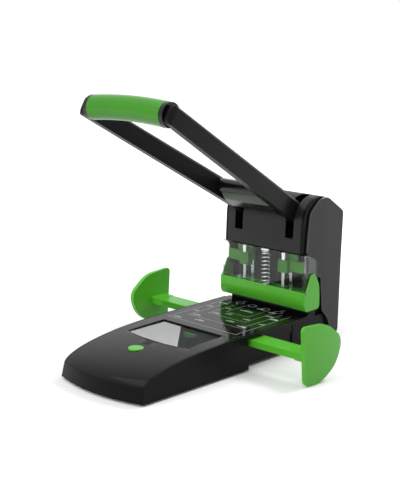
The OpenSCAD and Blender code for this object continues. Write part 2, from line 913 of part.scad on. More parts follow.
panel_corners = [[head_back + 9, chamber_z + 23, 3], [head_front + 17, chamber_z + 23, 2],
                 [head_front + 17, cover_bottom - 10.6, 3], [head_front + 11, cover_bottom + 1.4, 3],
                 [head_front + 13.6, pivot_h - 15, 60], [head_front + 18, pivot_h + 16, 20],
                 [head_front + 50, pivot_h + 42.5, 26], [rear_y - 0.7, pivot_h + 9, 8],
                 [rear_y - 4.5, pivot_h - 69, 300], [rear_y - 8, plate_top + 3.6, 9],
                 [rear_y - 23.7, plate_top + 3.6, 3], [rear_y - 33, deck_z - 7, 40],
                 [rear_y - 48.7, deck_z + 8, 5]];

module side_panel() {
    step = 0.6;
    x0 = panel_w / 2 - panel_t;
    x1 = panel_w / 2;
    color(black)
        // Three layers, each a little smaller, give the outer face its bevelled edge.
        for (i = [0:2])
            along_x(x0, x1 - (2 - i) * step)
                polygon(outline(inset(panel_corners, i * step), 6));
}

// Arc about the drum's middle, in the (Y, Z) plane.
function cover_arc(r, a0, a1, n) =
    [for (i = [0:n]) [drum_y + r * cos(a0 + (a1 - a0) * i / n), drum_z + r * sin(a0 + (a1 - a0) * i / n)]];

cover_front = head_front + 2.5;
split_a = 55;

module front_cover() {
    split = [drum_y + drum_r * cos(split_a), drum_z + drum_r * sin(split_a)];
    w = cover_w / 2;
    color(black)
    difference() {
        along_x(-w, w)
            polygon(concat([[cover_front + 22, cover_bottom - 9], [cover_front + 14, cover_bottom - 9],
                            [cover_front, cover_bottom]],
                           cover_arc(drum_r, 180, split_a, 16),
                           [[split.x, pivot_h - 10], [cover_front + 50, cover_bottom + 10]]));
        along_x(-w + cover_t, w - cover_t)
            polygon(concat([[split.x + 10, cover_bottom - 30], [cover_front + cover_t, cover_bottom - 30]],
                           cover_arc(drum_r - cover_t, 180, split_a, 16),
                           [[split.x + 10, split.y - 5]]));
        // Slots for the handle arms.
        for (side = [-1, 1])
            block([side * arm_gap / 2 - slot_w / 2, cover_front - 5, slot_bottom],
                  [side * arm_gap / 2 + slot_w / 2, drum_y + 9, drum_z + drum_r + 5]);
    }
    // Studs that fix the cover to the side plates.
    color(black)
    both_sides()
        for (at = [[pivot_y - 12, pivot_h - 30], [pivot_y + 6, pivot_h + 20]])
            rod_x(frame_w / 2, w - 1, 9, at.x, at.y);
}

module rear_cover() {
    w = cover_w / 2;
    a = split_a - 0.6;
    foot = plate_top + 4.6;
    middle = pivot_h - 70;
    outer = concat([[rear_y - 10.4, foot], [rear_y - 7, middle], [rear_y - 4, pivot_h + 5],
                    [rear_y - 7, pivot_h + 8.5]],
                   cover_arc(drum_r, a - 4, a, 2));
    inner = concat([[rear_y - 10.4 - cover_t, foot - 5.6], [rear_y - 7 - cover_t, middle],
                    [rear_y - 4 - cover_t, pivot_h + 4], [rear_y - 8 - cover_t, pivot_h + 6.5]],
                   cover_arc(drum_r - cover_t, a - 4, a, 2));
    split = [drum_y + drum_r * cos(a), drum_z + drum_r * sin(a)];
    color(black)
    difference() {
        along_x(-w, w)
            polygon(concat(outer, [[split.x, pivot_h - 10.3], [cover_front + 51, cover_bottom + 9],
                                   [rear_y - 46, cover_bottom - 6], [rear_y - 46, table_h + 2],
                                   [rear_y - 18, foot]]));
        along_x(-w + cover_t, w - cover_t)
            polygon(concat(inner, [[split.x - 90, pivot_h + drum_r], [block_y, 0]]));
        for (at = tie_places)
            rod_x(-w - 1, w + 1, tie_d + 2 * seat, at.x, at.y);
    }
}

module pivot_shaft() {
    color(steel)
        rod_x(-frame_w / 2 - 3, frame_w / 2 + 3, shaft_d, pivot_y, pivot_h);
}

module shaft_bushes() {
    color([0.7, 0.55, 0.3])
    both_sides()
        difference() {
            union() {
                rod_x(frame_w / 2 - plate_t, frame_w / 2, shaft_d + 6, pivot_y, pivot_h);
                rod_x(frame_w / 2, frame_w / 2 + 1.5, shaft_d + 10, pivot_y, pivot_h);
            }
            rod_x(0, 100, shaft_d, pivot_y, pivot_h);
        }
}

module tie_rods() {
    color(steel)
    for (at = tie_places)
        rod_x(-panel_w / 2 + panel_t, panel_w / 2 - panel_t, tie_d, at.x, at.y);
}

module handle_stop() {
    color(steel)
        rod_x(-frame_w / 2 - 2, frame_w / 2 + 2, stop_d, stop_rod.x, stop_rod.y);
}

// ---------------------------------------------------------------- press

module press_beam() {
    color(steel)
    difference() {
        union() {
            block([-beam_w / 2, beam_y0, beam_z], [beam_w / 2, beam_y1, beam_z + beam_t]);
            for (side = [-1, 1])
                along_x(side * lug_x - lug_t / 2, side * lug_x + lug_t / 2)
                    polygon(outline([[lug_y0, beam_z + 1, 0], [lug_y1, beam_z + 1, 0],
                                     [lug_y1, drive_z + 8.5, 6], [lug_y0, drive_z + 8.5, 6]], 6));
        }
        // Slots that let the drive bar swing.
        translate([0, 0, drive_z])
            long_slot();
        for (side = [-1, 1])
            rod_z(side * hole_spacing / 2, column_y, beam_z - 1, beam_z + beam_t + 1, bush_od);
    }
}

// Long hole across the lugs, as wide as the drive bar's path.
module long_slot() {
    d = drive_d + 0.3;
    reach = lug_x + lug_t;
    rod_x(-reach, reach, d, slot_y0, 0);
    rod_x(-reach, reach, d, slot_y1, 0);
    block([-reach, slot_y0, -d / 2], [reach, slot_y1, d / 2]);
}

module beam_bushes() {
    color([0.7, 0.55, 0.3])
    for (side = [-1, 1])
        difference() {
            rod_z(side * hole_spacing / 2, column_y, beam_z - 3, beam_z + beam_t, bush_od);
            rod_z(side * hole_spacing / 2, column_y, beam_z - 4, beam_z + beam_t + 1,
                  column_d - 1.5 + 2 * run_fit);
        }
}

// Green carrier in the place of the right one.
module punch_carrier() {
    x = hole_spacing / 2;
    low = chamber_z + 29;
    high = low + 20;
    color([0.10, 0.30, 0.05])
    difference() {
        union() {
            block([x - 9, shield_y + shield_t + 0.6, low], [x + 9, punch_y + 7.8, high]);
            block([x + 8, punch_y + 2.8, low + 3], [cover_w / 2 - 1, punch_y + 7.8, high]);
            block([x - 9, punch_y + 7.7, low + 6], [x + 22, column_y - 5.2, beam_z]);
        }
        rod_z(x, punch_y, low - 1, high + 1, pin_d);
        rod_z(x, column_y, low, beam_z + 1, bush_od + 1);
    }
}

module punch_pin(side) {
    color(steel)
        union() {
            rod_z(side * hole_spacing / 2, punch_y, head_z + 0.5, pin_top - 2, pin_d);
            rod_z(side * hole_spacing / 2, punch_y, chamber_z + 49, pin_top, pin_d + 1.5);
        }
}

module spring_seat() {
    color(steel)
    difference() {
        union() {
            block([-17, cover_front + cover_t + 1.5, beam_z - 3], [17, beam_y1 - 2, beam_z]);
            rod_z(0, spring_y, spring_top, beam_z - 3 + eps, spring_d + 1.5);
        }
        rod_z(0, spring_y, spring_top - 1, spring_top + 2, spring_d - 2 * wire_d - 2);
    }
}

module return_spring() {
    color([0.7, 0.7, 0.72])
        coil(0, spring_y, chamber_z, spring_top, spring_d, wire_d, spring_turns);
}

// Round wire wound into an open coil, with straight ends that meet their seats squarely.
module coil(x, y, z0, z1, outer, wire, turns) {
    r = (outer - wire) / 2;
    rings = 8;
    sides = 6;
    n = rings * turns;
    low = z0 + wire;
    high = z1 - wire;
    path = concat([[r, 0, z0]],
                  [for (i = [0:n])
                      [r * cos(360 * i / rings), r * sin(360 * i / rings), low + (high - low) * i / n]],
                  [[r, 0, z1]]);
    last = len(path) - 1;
    points = [for (i = [0:last])
        let (out = unit([path[i].x, path[i].y, 0]),
             along = unit(path[min(i + 1, last)] - path[max(i - 1, 0)]),
             up = cross(along, out))
        each [for (k = [0:sides - 1])
            path[i] + wire / 2 * (cos(360 * k / sides) * out + sin(360 * k / sides) * up)]];
    faces = concat([for (i = [0:last - 1], k = [0:sides - 1])
                       let (a = i * sides + k, b = i * sides + (k + 1) % sides)
                       each [[a, b, a + sides], [b, b + sides, a + sides]]],
                   [for (k = [1:sides - 2]) [0, k + 1, k]],
                   [for (k = [1:sides - 2]) [last * sides, last * sides + k, last * sides + k + 1]]);
    least = min([for (i = [0:last], j = [i + rings / 2:1:last], k = [0:sides - 1], l = [0:sides - 1])
        norm(points[i * sides + k] - points[j * sides + l])]);
    echo(least_gap_of_the_coil = least);
    translate([x, y, 0])
        polyhedron(points = points, faces = faces, convexity = 10);
}

// ---------------------------------------------------------------- handle

// Frame of the raised handle: -y runs out along the arms, z square to them.
module arm_frame() {
    translate([0, pivot_y, pivot_h])
        rotate([-handle_rise, 0, 0])
            children();
}

// Middle of an arm across X at distance s from the pivot.
function splayed(s) = max(0, s - splay_from) / (handle_len - splay_from);
function arm_x(s) = (arm_gap + (arm_spread - arm_gap) * splayed(s)) / 2;
function arm_half(s) = (arm_w - arm_taper * splayed(s)) / 2;
function arm_top(s) = arm_depth / 2 - arm_drop * s / handle_len;

// Plan of an arm, with its outer corner at the grip cut back.
module arm_plan() {
    polygon(concat([for (s = [-20, splay_from, arm_tip - 12]) [arm_x(s) + arm_half(s), -s]],
                   [[arm_x(arm_tip) + arm_half(arm_tip) - 5, -arm_tip]],
                   [for (s = [arm_tip, splay_from, -20]) [arm_x(s) - arm_half(s), -s]]));
}

module arm_side() {
    h = arm_depth / 2;
    circle(r = h);
    polygon(outline([[0, -h, 0], [0, h, 0], [-arm_tip, arm_top(arm_tip), 10], [-arm_tip, -h, 10]], 6));
}

module handle_arm() {
    splay = atan((arm_spread - arm_gap) / 2 / (handle_len - splay_from));
    color(black)
    difference() {
        arm_frame()
            difference() {
                intersection() {
                    translate([0, 0, -60])
                        linear_extrude(120)
                            arm_plan();
                    along_x(0, 150)
                        arm_side();
                }
                // Bevels along both top edges.
                for (edge = [-1, 1])
                    translate([arm_x(splay_from) + edge * (arm_w / 2 + 0.6), -splay_from,
                               arm_top(splay_from)])
                        rotate([atan(arm_drop / handle_len), 0, splay])
                            rotate([0, edge * 45, 0])
                                translate([-10, -handle_len, -arm_bevel * sqrt(0.5)])
                                    cube([20, handle_len + 20, 20]);
                // Pocket for the steel lever.
                along_x(arm_gap / 2 - lever_t / 2 - 0.1, arm_gap / 2 + lever_t / 2 + 0.1)
                    lever_side(0.1);
                along_x(-1, hub_half + 1)
                    circle(d = hub_d + 0.2);
                // Seat for the grip's collar.
                rod_x(arm_x(handle_len) - arm_half(handle_len) - 12, arm_x(handle_len) - arm_half(handle_len),
                      grip_d + 2, -handle_len, grip_n);
                // Socket for the core of the grip.
                rod_x(core_half - 9, core_half, core_d, -handle_len, grip_n);
            }
        rod_x(0, arm_gap / 2, drive_d + 0.4, drive_y, drive_z);
        rod_x(0, 100, shaft_d + 1, pivot_y, pivot_h);
    }
}

module lever_side(grow = 0) {
    circle(r = hub_d / 2 + 2.5 + grow);
    polygon([[0, -10 - grow], [0, 10 + grow], [-lever_len - grow, 9 + grow], [-lever_len - grow, -9 - grow]]);
}

module lever() {
    x0 = arm_gap / 2 - lever_t / 2;
    x1 = arm_gap / 2 + lever_t / 2;
    color(steel)
    difference() {
        arm_frame()
            along_x(x0, x1)
                lever_side();
        rod_x(0, 100, hub_d, pivot_y, pivot_h);
        rod_x(0, 100, drive_d, drive_y, drive_z);
    }
}

module lever_hub() {
    color(steel)
    difference() {
        union() {
            rod_x(-hub_half, hub_half, hub_d, pivot_y, pivot_h);
            // Heel that meets the stop rod when the handle is up.
            along_x(-heel_half, heel_half)
                polygon([[pivot_y, pivot_h - hub_d / 2 + 0.5],
                         [stop_rod.x + 5, stop_rod.y + stop_d / 2 + seat],
                         [stop_rod.x + 5, stop_rod.y + stop_d / 2 + 8],
                         [pivot_y, pivot_h + hub_d / 2 - 0.5]]);
        }
        rod_x(-100, 100, shaft_d + 2 * run_fit, pivot_y, pivot_h);
    }
}

module drive_bar() {
    color(steel)
        rod_x(-arm_gap / 2 - lever_t / 2, arm_gap / 2 + lever_t / 2, drive_d, drive_y, drive_z);
}

module handle_bridge() {
    h = arm_depth / 2;
    corners = [[-bridge_near, h - 2, 2], [15 - bridge_far, h - 1, 9], [-bridge_far, h / 2, 9],
               [4 - bridge_far, -h / 2, 9], [27 - bridge_far, 1 - h, 14], [-bridge_near - 16, -h - 2, 12],
               [-bridge_near, 1 - h, 2]];
    color(gloss)
    arm_frame()
        intersection() {
            along_x(-80, 80)
                polygon(outline(corners, 6));
            translate([0, 0, -60])
                linear_extrude(120)
                    polygon([for (side = [1, -1])
                        each [for (s = side > 0 ? [40, splay_from, 130] : [130, splay_from, 40])
                            [side * (arm_x(s) - arm_half(s)), -s]]]);
        }
}

module grip() {
    half = arm_x(handle_len) - arm_half(handle_len) - collar_t;
    r = (half * half + grip_bow * grip_bow) / (2 * grip_bow);
    color(green)
    arm_frame()
        difference() {
            intersection() {
                translate([0, -handle_len, grip_n - r + grip_bow])
                    rotate([90, 0, 0])
                        rotate([0, 0, 80])
                            rotate_extrude(angle = 20, $fn = 144)
                                translate([r, 0])
                                    circle(d = grip_d, $fn = 48);
                block([-half, -handle_len - 40, -60], [half, -handle_len + 40, 60]);
            }
            rod_x(-100, 100, core_d, -handle_len, grip_n);
        }
}

module grip_core() {
    color(steel)
    arm_frame()
        rod_x(-core_half, core_half, core_d, -handle_len, grip_n);
}

module grip_collar() {
    x1 = arm_x(handle_len) - arm_half(handle_len);
    color(gloss)
    arm_frame()
        difference() {
            rod_x(x1 - collar_t, x1, grip_d - 0.5, -handle_len, grip_n);
            rod_x(0, 100, core_d, -handle_len, grip_n);
        }
}

module base_screws() {
    color(steel)
    both_sides()
        for (y = [front_y + 48, block_y - 44])
            difference() {
                rod_z(rib_x + 8, y, plate_top, plate_top + 1.6, 7);
                rod_z(rib_x + 8, y, plate_top + 0.6, plate_top + 3, 2.5);
            }
}

base_shell();
top_cover();
window_lens();
format_card();
tray_button();
button_spring();
chip_tray();
rubber_feet();
base_plate();
chassis();
die_plate();
die_bushes();
back_stop();
guide_carrier();
pinion_post();
pinion();
guide_bar();  // guide_bar_right
turned() guide_bar();  // guide_bar_left
guide_paddle();  // guide_paddle_right
turned() guide_paddle();  // guide_paddle_left
head_body();
stripper_plate();
head_screws();
clear_shield();
guide_columns();
chamber_wall();
side_plate();  // side_plate_right
mirror([1, 0, 0]) side_plate();  // side_plate_left
side_panel();  // side_panel_right
mirror([1, 0, 0]) side_panel();  // side_panel_left
front_cover();
rear_cover();
pivot_shaft();
shaft_bushes();
tie_rods();
handle_stop();
press_beam();
beam_bushes();
punch_carrier();  // punch_carrier_right
mirror([1, 0, 0]) punch_carrier();  // punch_carrier_left
punch_pin(1);  // punch_pin_right
punch_pin(-1);  // punch_pin_left
spring_seat();
return_spring();
lever();  // lever_right
mirror([1, 0, 0]) lever();  // lever_left
lever_hub();
drive_bar();
handle_arm();  // handle_arm_right
mirror([1, 0, 0]) handle_arm();  // handle_arm_left
handle_bridge();
grip();
grip_core();
grip_collar();  // grip_collar_right
mirror([1, 0, 0]) grip_collar();  // grip_collar_left
base_screws();
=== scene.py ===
"""Looks of the lever hole punch: finer pieces, finishes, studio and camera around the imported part."""

import json
import logging
from contextlib import contextmanager
from dataclasses import dataclass
from enum import Enum
from math import cos, pi, radians, sin
from typing import Callable, Iterator, Sequence

import bpy
from bpy.types import Material, MeshPolygon, Node, NodeSocket, NodeTree, Object
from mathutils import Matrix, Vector


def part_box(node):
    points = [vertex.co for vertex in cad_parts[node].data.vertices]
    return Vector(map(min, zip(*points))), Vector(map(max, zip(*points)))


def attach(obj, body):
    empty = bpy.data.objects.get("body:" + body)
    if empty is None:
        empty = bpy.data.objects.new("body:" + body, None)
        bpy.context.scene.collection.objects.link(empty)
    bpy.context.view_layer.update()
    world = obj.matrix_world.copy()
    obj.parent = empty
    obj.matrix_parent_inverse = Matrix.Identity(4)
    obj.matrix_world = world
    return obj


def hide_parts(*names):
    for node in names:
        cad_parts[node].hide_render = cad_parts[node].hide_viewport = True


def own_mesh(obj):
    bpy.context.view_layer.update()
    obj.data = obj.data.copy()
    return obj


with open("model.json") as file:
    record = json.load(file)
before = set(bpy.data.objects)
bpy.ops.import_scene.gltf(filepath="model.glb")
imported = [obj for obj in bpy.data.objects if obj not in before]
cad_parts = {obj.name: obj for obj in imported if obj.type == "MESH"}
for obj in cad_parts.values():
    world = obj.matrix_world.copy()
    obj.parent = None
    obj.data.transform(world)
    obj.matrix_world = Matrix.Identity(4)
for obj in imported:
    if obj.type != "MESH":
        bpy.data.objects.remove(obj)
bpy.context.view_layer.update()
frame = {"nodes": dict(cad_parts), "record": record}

logging.basicConfig(level=logging.INFO, format="%(name)s: %(message)s")
log = logging.getLogger("hole_punch")

MM = 0.001
TOUCH = 0.01 * MM  # how near two places are that count as one
BUMP_STEP = 0.5 * MM  # distance that a Bump node's height stands for
FLAT = 0.3  # greatest angle in degrees between triangles that become one face
SIDES = {"right": 1, "left": -1}


class Slot(Enum):
    """Material slots of the record."""

    BLACK_BODY = "black_body"
    BLACK_GLOSS = "black_gloss"
    GREEN = "green_body"
    CLEAR = "clear"
    CARD = "card"
    RUBBER = "rubber"
    CHROME = "chrome"
    STEEL = "steel"
    BLACK_STEEL = "black_steel"
    ACETAL = "white_plastic"
    BRONZE = "brass"


# ------------------------ shader groups


class NodeSheet:
    """Small helper that places and links shader nodes in one tree."""

    def __init__(self, tree: NodeTree) -> None:
        """Keeps the tree to work on."""
        self.tree = tree

    def add(self, kind: str, **values: object) -> Node:
        """Adds a node.

        Args:
            kind: Blender's node type.
            values: the node's own properties.

        Returns:
            The new node.
        """
        node = self.tree.nodes.new(kind)
        for key, value in values.items():
            setattr(node, key, value)
        return node

    def feed(self, node: Node, name: str | int, value: object) -> None:
        """Links or sets a node's input.

        Args:
            node: the node.
            name: its input's name or number.
            value: an output socket to link, or a plain value.
        """
        if isinstance(value, NodeSocket):
            self.tree.links.new(value, node.inputs[name])
        else:
            node.inputs[name].default_value = value

    def fill(self, node: Node, values: dict[str | int, object]) -> None:
        """Links or sets several inputs of a node.

        Args:
            node: the node.
            values: a socket or plain value for each input's name or number.
        """
        for name, value in values.items():
            self.feed(node, name, value)

    def math(self, operation: str, first: object, second: object = 0.0) -> NodeSocket:
        """Places one Math node.

        Args:
            operation: Blender's name of the operation.
            first: its first socket or value.
            second: its second socket or value.

        Returns:
            Its output.
        """
        node = self.add("ShaderNodeMath", operation=operation)
        self.fill(node, {0: first, 1: second})
        return node.outputs[0]

    def group(self, name: str, build: Callable[[], NodeTree], **inputs: object) -> Node:
        """Places a node group, built the first time it is asked for.

        Args:
            name: the group's name.
            build: what builds it.
            inputs: its inputs' sockets or values.

        Returns:
            The group's node.
        """
        node = self.add("ShaderNodeGroup", node_tree=bpy.data.node_groups.get(name) or build())
        self.fill(node, inputs)
        return node

    def mix(self, factor: object, first: object, second: object) -> NodeSocket:
        """Mixes two colours.

        Args:
            factor: share of the second colour.
            first: the first colour.
            second: the second colour.

        Returns:
            The mixed colour.
        """
        node = self.add("ShaderNodeMix", data_type="RGBA")
        self.fill(node, {0: factor, 6: first, 7: second})
        return node.outputs[2]

    def noise(self, vector: object, scale: object, detail: float = 3.0) -> NodeSocket:
        """Places a noise texture.

        Args:
            vector: socket of the coordinates.
            scale: its scale; a higher number is finer.
            detail: its number of finer layers.

        Returns:
            Its factor.
        """
        node = self.add("ShaderNodeTexNoise")
        self.fill(node, {"Vector": vector, "Scale": scale, "Detail": detail})
        return node.outputs["Fac"]


def new_group(name: str, inputs: dict[str, tuple[str, float]], outputs: dict[str, str]) -> NodeTree:
    """Starts a shader node group.

    Args:
        name: the group's name.
        inputs: socket type and first value of each input.
        outputs: socket type of each output.

    Returns:
        The empty group.
    """
    group = bpy.data.node_groups.new(name, "ShaderNodeTree")
    for label, (kind, value) in inputs.items():
        socket = group.interface.new_socket(label, in_out="INPUT", socket_type=kind)
        if kind == "NodeSocketFloat":
            socket.default_value = value
    for label, kind in outputs.items():
        group.interface.new_socket(label, in_out="OUTPUT", socket_type=kind)
    return group


def moulded_grain_group() -> NodeTree:
    """Builds the grain of moulded plastic.

    Returns:
        A group that puts out a height, a roughness and a tint mask.
    """
    float_in = "NodeSocketFloat"
    group = new_group(
        "moulded_grain",
        {"Vector": ("NodeSocketVector", 0.0), "Grain": (float_in, 2500.0), "Roughness": (float_in, 0.4),
         "Spread": (float_in, 0.08)},
        {"Height": float_in, "Roughness": float_in, "Tint": float_in},
    )
    sheet = NodeSheet(group)
    source = sheet.add("NodeGroupInput")
    result = sheet.add("NodeGroupOutput")
    fine = sheet.noise(source.outputs["Vector"], source.outputs["Grain"], 2.0)
    broad = sheet.noise(source.outputs["Vector"], 22.0, 4.0)
    smear = sheet.noise(source.outputs["Vector"], 160.0, 2.0)
    swing = sheet.math("SUBTRACT", sheet.math("ADD", broad, sheet.math("MULTIPLY", smear, 0.5)), 0.75)
    change = sheet.math("MULTIPLY", swing, source.outputs["Spread"])
    rough = sheet.math("ADD", source.outputs["Roughness"], change)
    sheet.fill(result, {"Height": fine, "Roughness": rough, "Tint": broad})
    return group


def brushed_group() -> NodeTree:
    """Builds the fine drawn or turned lines of metal.

    Returns:
        A group that puts out a height and a roughness.
    """
    float_in = "NodeSocketFloat"
    group = new_group(
        "drawn_lines",
        {"Vector": ("NodeSocketVector", 0.0), "Roughness": (float_in, 0.25), "Spread": (float_in, 0.1)},
        {"Height": float_in, "Roughness": float_in},
    )
    sheet = NodeSheet(group)
    source = sheet.add("NodeGroupInput")
    result = sheet.add("NodeGroupOutput")
    stretch = sheet.add("ShaderNodeMapping")
    sheet.fill(stretch, {"Vector": source.outputs["Vector"], "Scale": (400.0, 400.0, 6000.0)})
    lines = sheet.noise(stretch.outputs[0], 1.0, 3.0)
    stains = sheet.noise(source.outputs["Vector"], 60.0, 3.0)
    swing = sheet.math("SUBTRACT", sheet.math("ADD", lines, stains), 1.0)
    change = sheet.math("MULTIPLY", swing, source.outputs["Spread"])
    rough = sheet.math("ADD", source.outputs["Roughness"], change)
    sheet.fill(result, {"Height": lines, "Roughness": rough})
    return group


# ------------------------ finishes


@dataclass(frozen=True)
class Plastic:
    """Moulded plastic with a fine grain.

    Attributes:
        name: the finish's name.
        colour: linear base colour.
        roughness: middle roughness.
        grain: scale of the grain; a higher number is finer.
        depth: how deep the grain looks.
        spread: how much the roughness varies.
        tint: how much lighter or darker the broad clouds are.
        coat: strength of the glossy lacquer.
        coat_roughness: its roughness.
        specular: strength of the mirror-like part of the reflection.
    """

    name: str
    colour: tuple[float, float, float]
    roughness: float = 0.42
    grain: float = 2600.0
    depth: float = 0.06
    spread: float = 0.10
    tint: float = 0.12
    coat: float = 0.0
    specular: float = 0.5
    coat_roughness: float = 0.04

    def make(self) -> Material:
        """Builds the material.

        Returns:
            The new material.
        """
        material, sheet, shader = new_material(self.name)
        grain = sheet.group("moulded_grain", moulded_grain_group, Vector=object_coordinates(sheet),
                            Grain=self.grain, Roughness=self.roughness, Spread=self.spread)
        colour = sheet.mix(grain.outputs["Tint"], scaled(self.colour, 1.0 - self.tint),
                           scaled(self.colour, 1.0 + self.tint))
        sheet.fill(shader, {"Base Color": colour, "Roughness": grain.outputs["Roughness"],
                            "Specular IOR Level": self.specular, "Coat Weight": self.coat,
                            "Coat Roughness": self.coat_roughness})
        add_bump(sheet, shader, grain.outputs["Height"], self.depth)
        return material


@dataclass(frozen=True)
class Metal:
    """Bare or plated metal with drawn lines.

    Attributes:
        name: the finish's name.
        colour: linear base colour.
        roughness: middle roughness.
        spread: how much the roughness varies.
        depth: how deep the lines look.
    """

    name: str
    colour: tuple[float, float, float]
    roughness: float = 0.22
    spread: float = 0.12
    depth: float = 0.03

    def make(self) -> Material:
        """Builds the material.

        Returns:
            The new material.
        """
        material, sheet, shader = new_material(self.name)
        lines = sheet.group("drawn_lines", brushed_group, Vector=object_coordinates(sheet),
                            Roughness=self.roughness, Spread=self.spread)
        colour = sheet.mix(lines.outputs["Height"], scaled(self.colour, 0.88), scaled(self.colour, 1.08))
        sheet.fill(shader, {"Base Color": colour, "Metallic": 1.0, "Roughness": lines.outputs["Roughness"]})
        add_bump(sheet, shader, lines.outputs["Height"], self.depth)
        return material


@dataclass(frozen=True)
class ClearPlastic:
    """Polished see-through plastic.

    Attributes:
        name: the finish's name.
        colour: colour of the light that passes.
        roughness: middle roughness.
        ior: how strongly it bends and mirrors light.
    """

    name: str
    colour: tuple[float, float, float]
    roughness: float = 0.02
    ior: float = 1.46

    def make(self) -> Material:
        """Builds the material.

        Returns:
            The new material.
        """
        material, sheet, shader = new_material(self.name)
        haze = sheet.noise(object_coordinates(sheet), 35.0, 3.0)
        rough = sheet.math("ADD", sheet.math("MULTIPLY", haze, 0.03), self.roughness)
        sheet.fill(shader, {"Base Color": (*self.colour, 1.0), "Roughness": rough, "IOR": self.ior,
                            "Transmission Weight": 1.0})
        return material


def scaled(colour: Sequence[float], factor: float) -> tuple[float, float, float, float]:
    """Returns a colour made lighter or darker, with full alpha."""
    return (colour[0] * factor, colour[1] * factor, colour[2] * factor, 1.0)


def new_material(name: str) -> tuple[Material, NodeSheet, Node]:
    """Starts a node material.

    Args:
        name: the material's name.

    Returns:
        The material, a sheet to add nodes with, and its Principled shader.
    """
    material = bpy.data.materials.new(name)
    material.use_nodes = True
    return material, NodeSheet(material.node_tree), material.node_tree.nodes["Principled BSDF"]


def object_coordinates(sheet: NodeSheet) -> NodeSocket:
    """Returns the Object output of a new Texture Coordinate node."""
    return sheet.add("ShaderNodeTexCoord").outputs["Object"]


def add_bump(sheet: NodeSheet, shader: Node, height: NodeSocket, depth: float) -> None:
    """Feeds a height through a Bump node into the shader's normal.

    Args:
        sheet: where the node goes.
        shader: the Principled shader.
        height: socket of the height.
        depth: how deep it looks.
    """
    bump = sheet.add("ShaderNodeBump")
    sheet.fill(bump, {"Height": height, "Strength": depth, "Distance": BUMP_STEP})
    sheet.feed(shader, "Normal", bump.outputs["Normal"])


@dataclass(frozen=True)
class Printed:
    """Plastic with thin flat print on its top face.

    Attributes:
        name: the finish's name.
        ground: linear colour of the plastic.
        inks: for each ink, its linear colour and the rectangles it fills, as middle X, middle Y, half width,
            half depth and lean, the shift of X for each unit of Y.
        above: the height over which the print lies.
        roughness: middle roughness.
        specular: strength of the mirror-like part of the reflection.
        wear: how unevenly the ink covers, from 0, solid, to 1.
        rings: thin printed circles in the first ink, as middle X, middle Y and radius.
        ring_line: half width of their line.
    """

    name: str
    ground: tuple[float, float, float]
    inks: tuple[tuple[tuple[float, float, float], tuple[tuple[float, ...], ...]], ...]
    above: float
    roughness: float = 0.12
    specular: float = 0.3
    wear: float = 0.5
    rings: tuple[tuple[float, float, float], ...] = ()
    ring_line: float = 0.4 * MM

    def stroke(self, sheet: NodeSheet, x: object, y: object, box: Sequence[float]) -> NodeSocket:
        """Masks one printed rectangle.

        Args:
            sheet: where the nodes go.
            x: socket of the X coordinate.
            y: socket of the Y coordinate.
            box: the rectangle, as inks holds it.

        Returns:
            A socket that is 1 inside it.
        """
        from_y = sheet.math("SUBTRACT", y, box[1])
        from_x = sheet.math("SUBTRACT", x, box[0])
        if box[4]:
            from_x = sheet.math("SUBTRACT", from_x, sheet.math("MULTIPLY", from_y, box[4]))
        across = sheet.math("LESS_THAN", sheet.math("ABSOLUTE", from_x), box[2])
        along = sheet.math("LESS_THAN", sheet.math("ABSOLUTE", from_y), box[3])
        return sheet.math("MULTIPLY", across, along)

    def circle(self, sheet: NodeSheet, place: object, ring: tuple[float, float, float]) -> NodeSocket:
        """Masks one printed circle.

        Args:
            sheet: where the nodes go.
            place: socket of the coordinates.
            ring: the circle, as rings holds it.

        Returns:
            A socket that is 1 on its line.
        """
        flat = sheet.add("ShaderNodeVectorMath", operation="MULTIPLY")
        sheet.fill(flat, {0: place, 1: (1.0, 1.0, 0.0)})
        away = sheet.add("ShaderNodeVectorMath", operation="DISTANCE")
        sheet.fill(away, {0: flat.outputs[0], 1: (ring[0], ring[1], 0.0)})
        gap = sheet.math("ABSOLUTE", sheet.math("SUBTRACT", away.outputs["Value"], ring[2]))
        return sheet.math("LESS_THAN", gap, self.ring_line)

    def make(self) -> Material:
        """Builds the material.

        Returns:
            The new material.
        """
        material, sheet, shader = new_material(self.name)
        coordinates = object_coordinates(sheet)
        grain = sheet.group("moulded_grain", moulded_grain_group, Vector=coordinates, Grain=900.0,
                            Roughness=self.roughness, Spread=0.05)
        split = sheet.add("ShaderNodeSeparateXYZ")
        sheet.feed(split, 0, coordinates)
        top = sheet.math("GREATER_THAN", split.outputs[2], self.above)
        worn = sheet.math("MULTIPLY_ADD", sheet.noise(coordinates, 300.0, 2.0), self.wear)
        sheet.feed(worn.node, 2, 1.0 - self.wear / 2)
        cover = sheet.math("MULTIPLY", top, sheet.math("MINIMUM", worn, 1.0))
        colour: object = scaled(self.ground, 1.0)
        for number, (ink, boxes) in enumerate(self.inks):
            mask: object = 0.0
            for ring in self.rings if number == 0 else ():
                mask = sheet.math("MAXIMUM", mask, self.circle(sheet, coordinates, ring))
            for box in boxes:
                stroke = self.stroke(sheet, split.outputs[0], split.outputs[1], box)
                mask = sheet.math("MAXIMUM", mask, stroke)
            colour = sheet.mix(sheet.math("MULTIPLY", mask, cover), colour, scaled(ink, 1.0))
        sheet.fill(shader, {"Base Color": colour, "Roughness": grain.outputs["Roughness"],
                            "Specular IOR Level": self.specular})
        add_bump(sheet, shader, grain.outputs["Height"], 0.008)
        return material


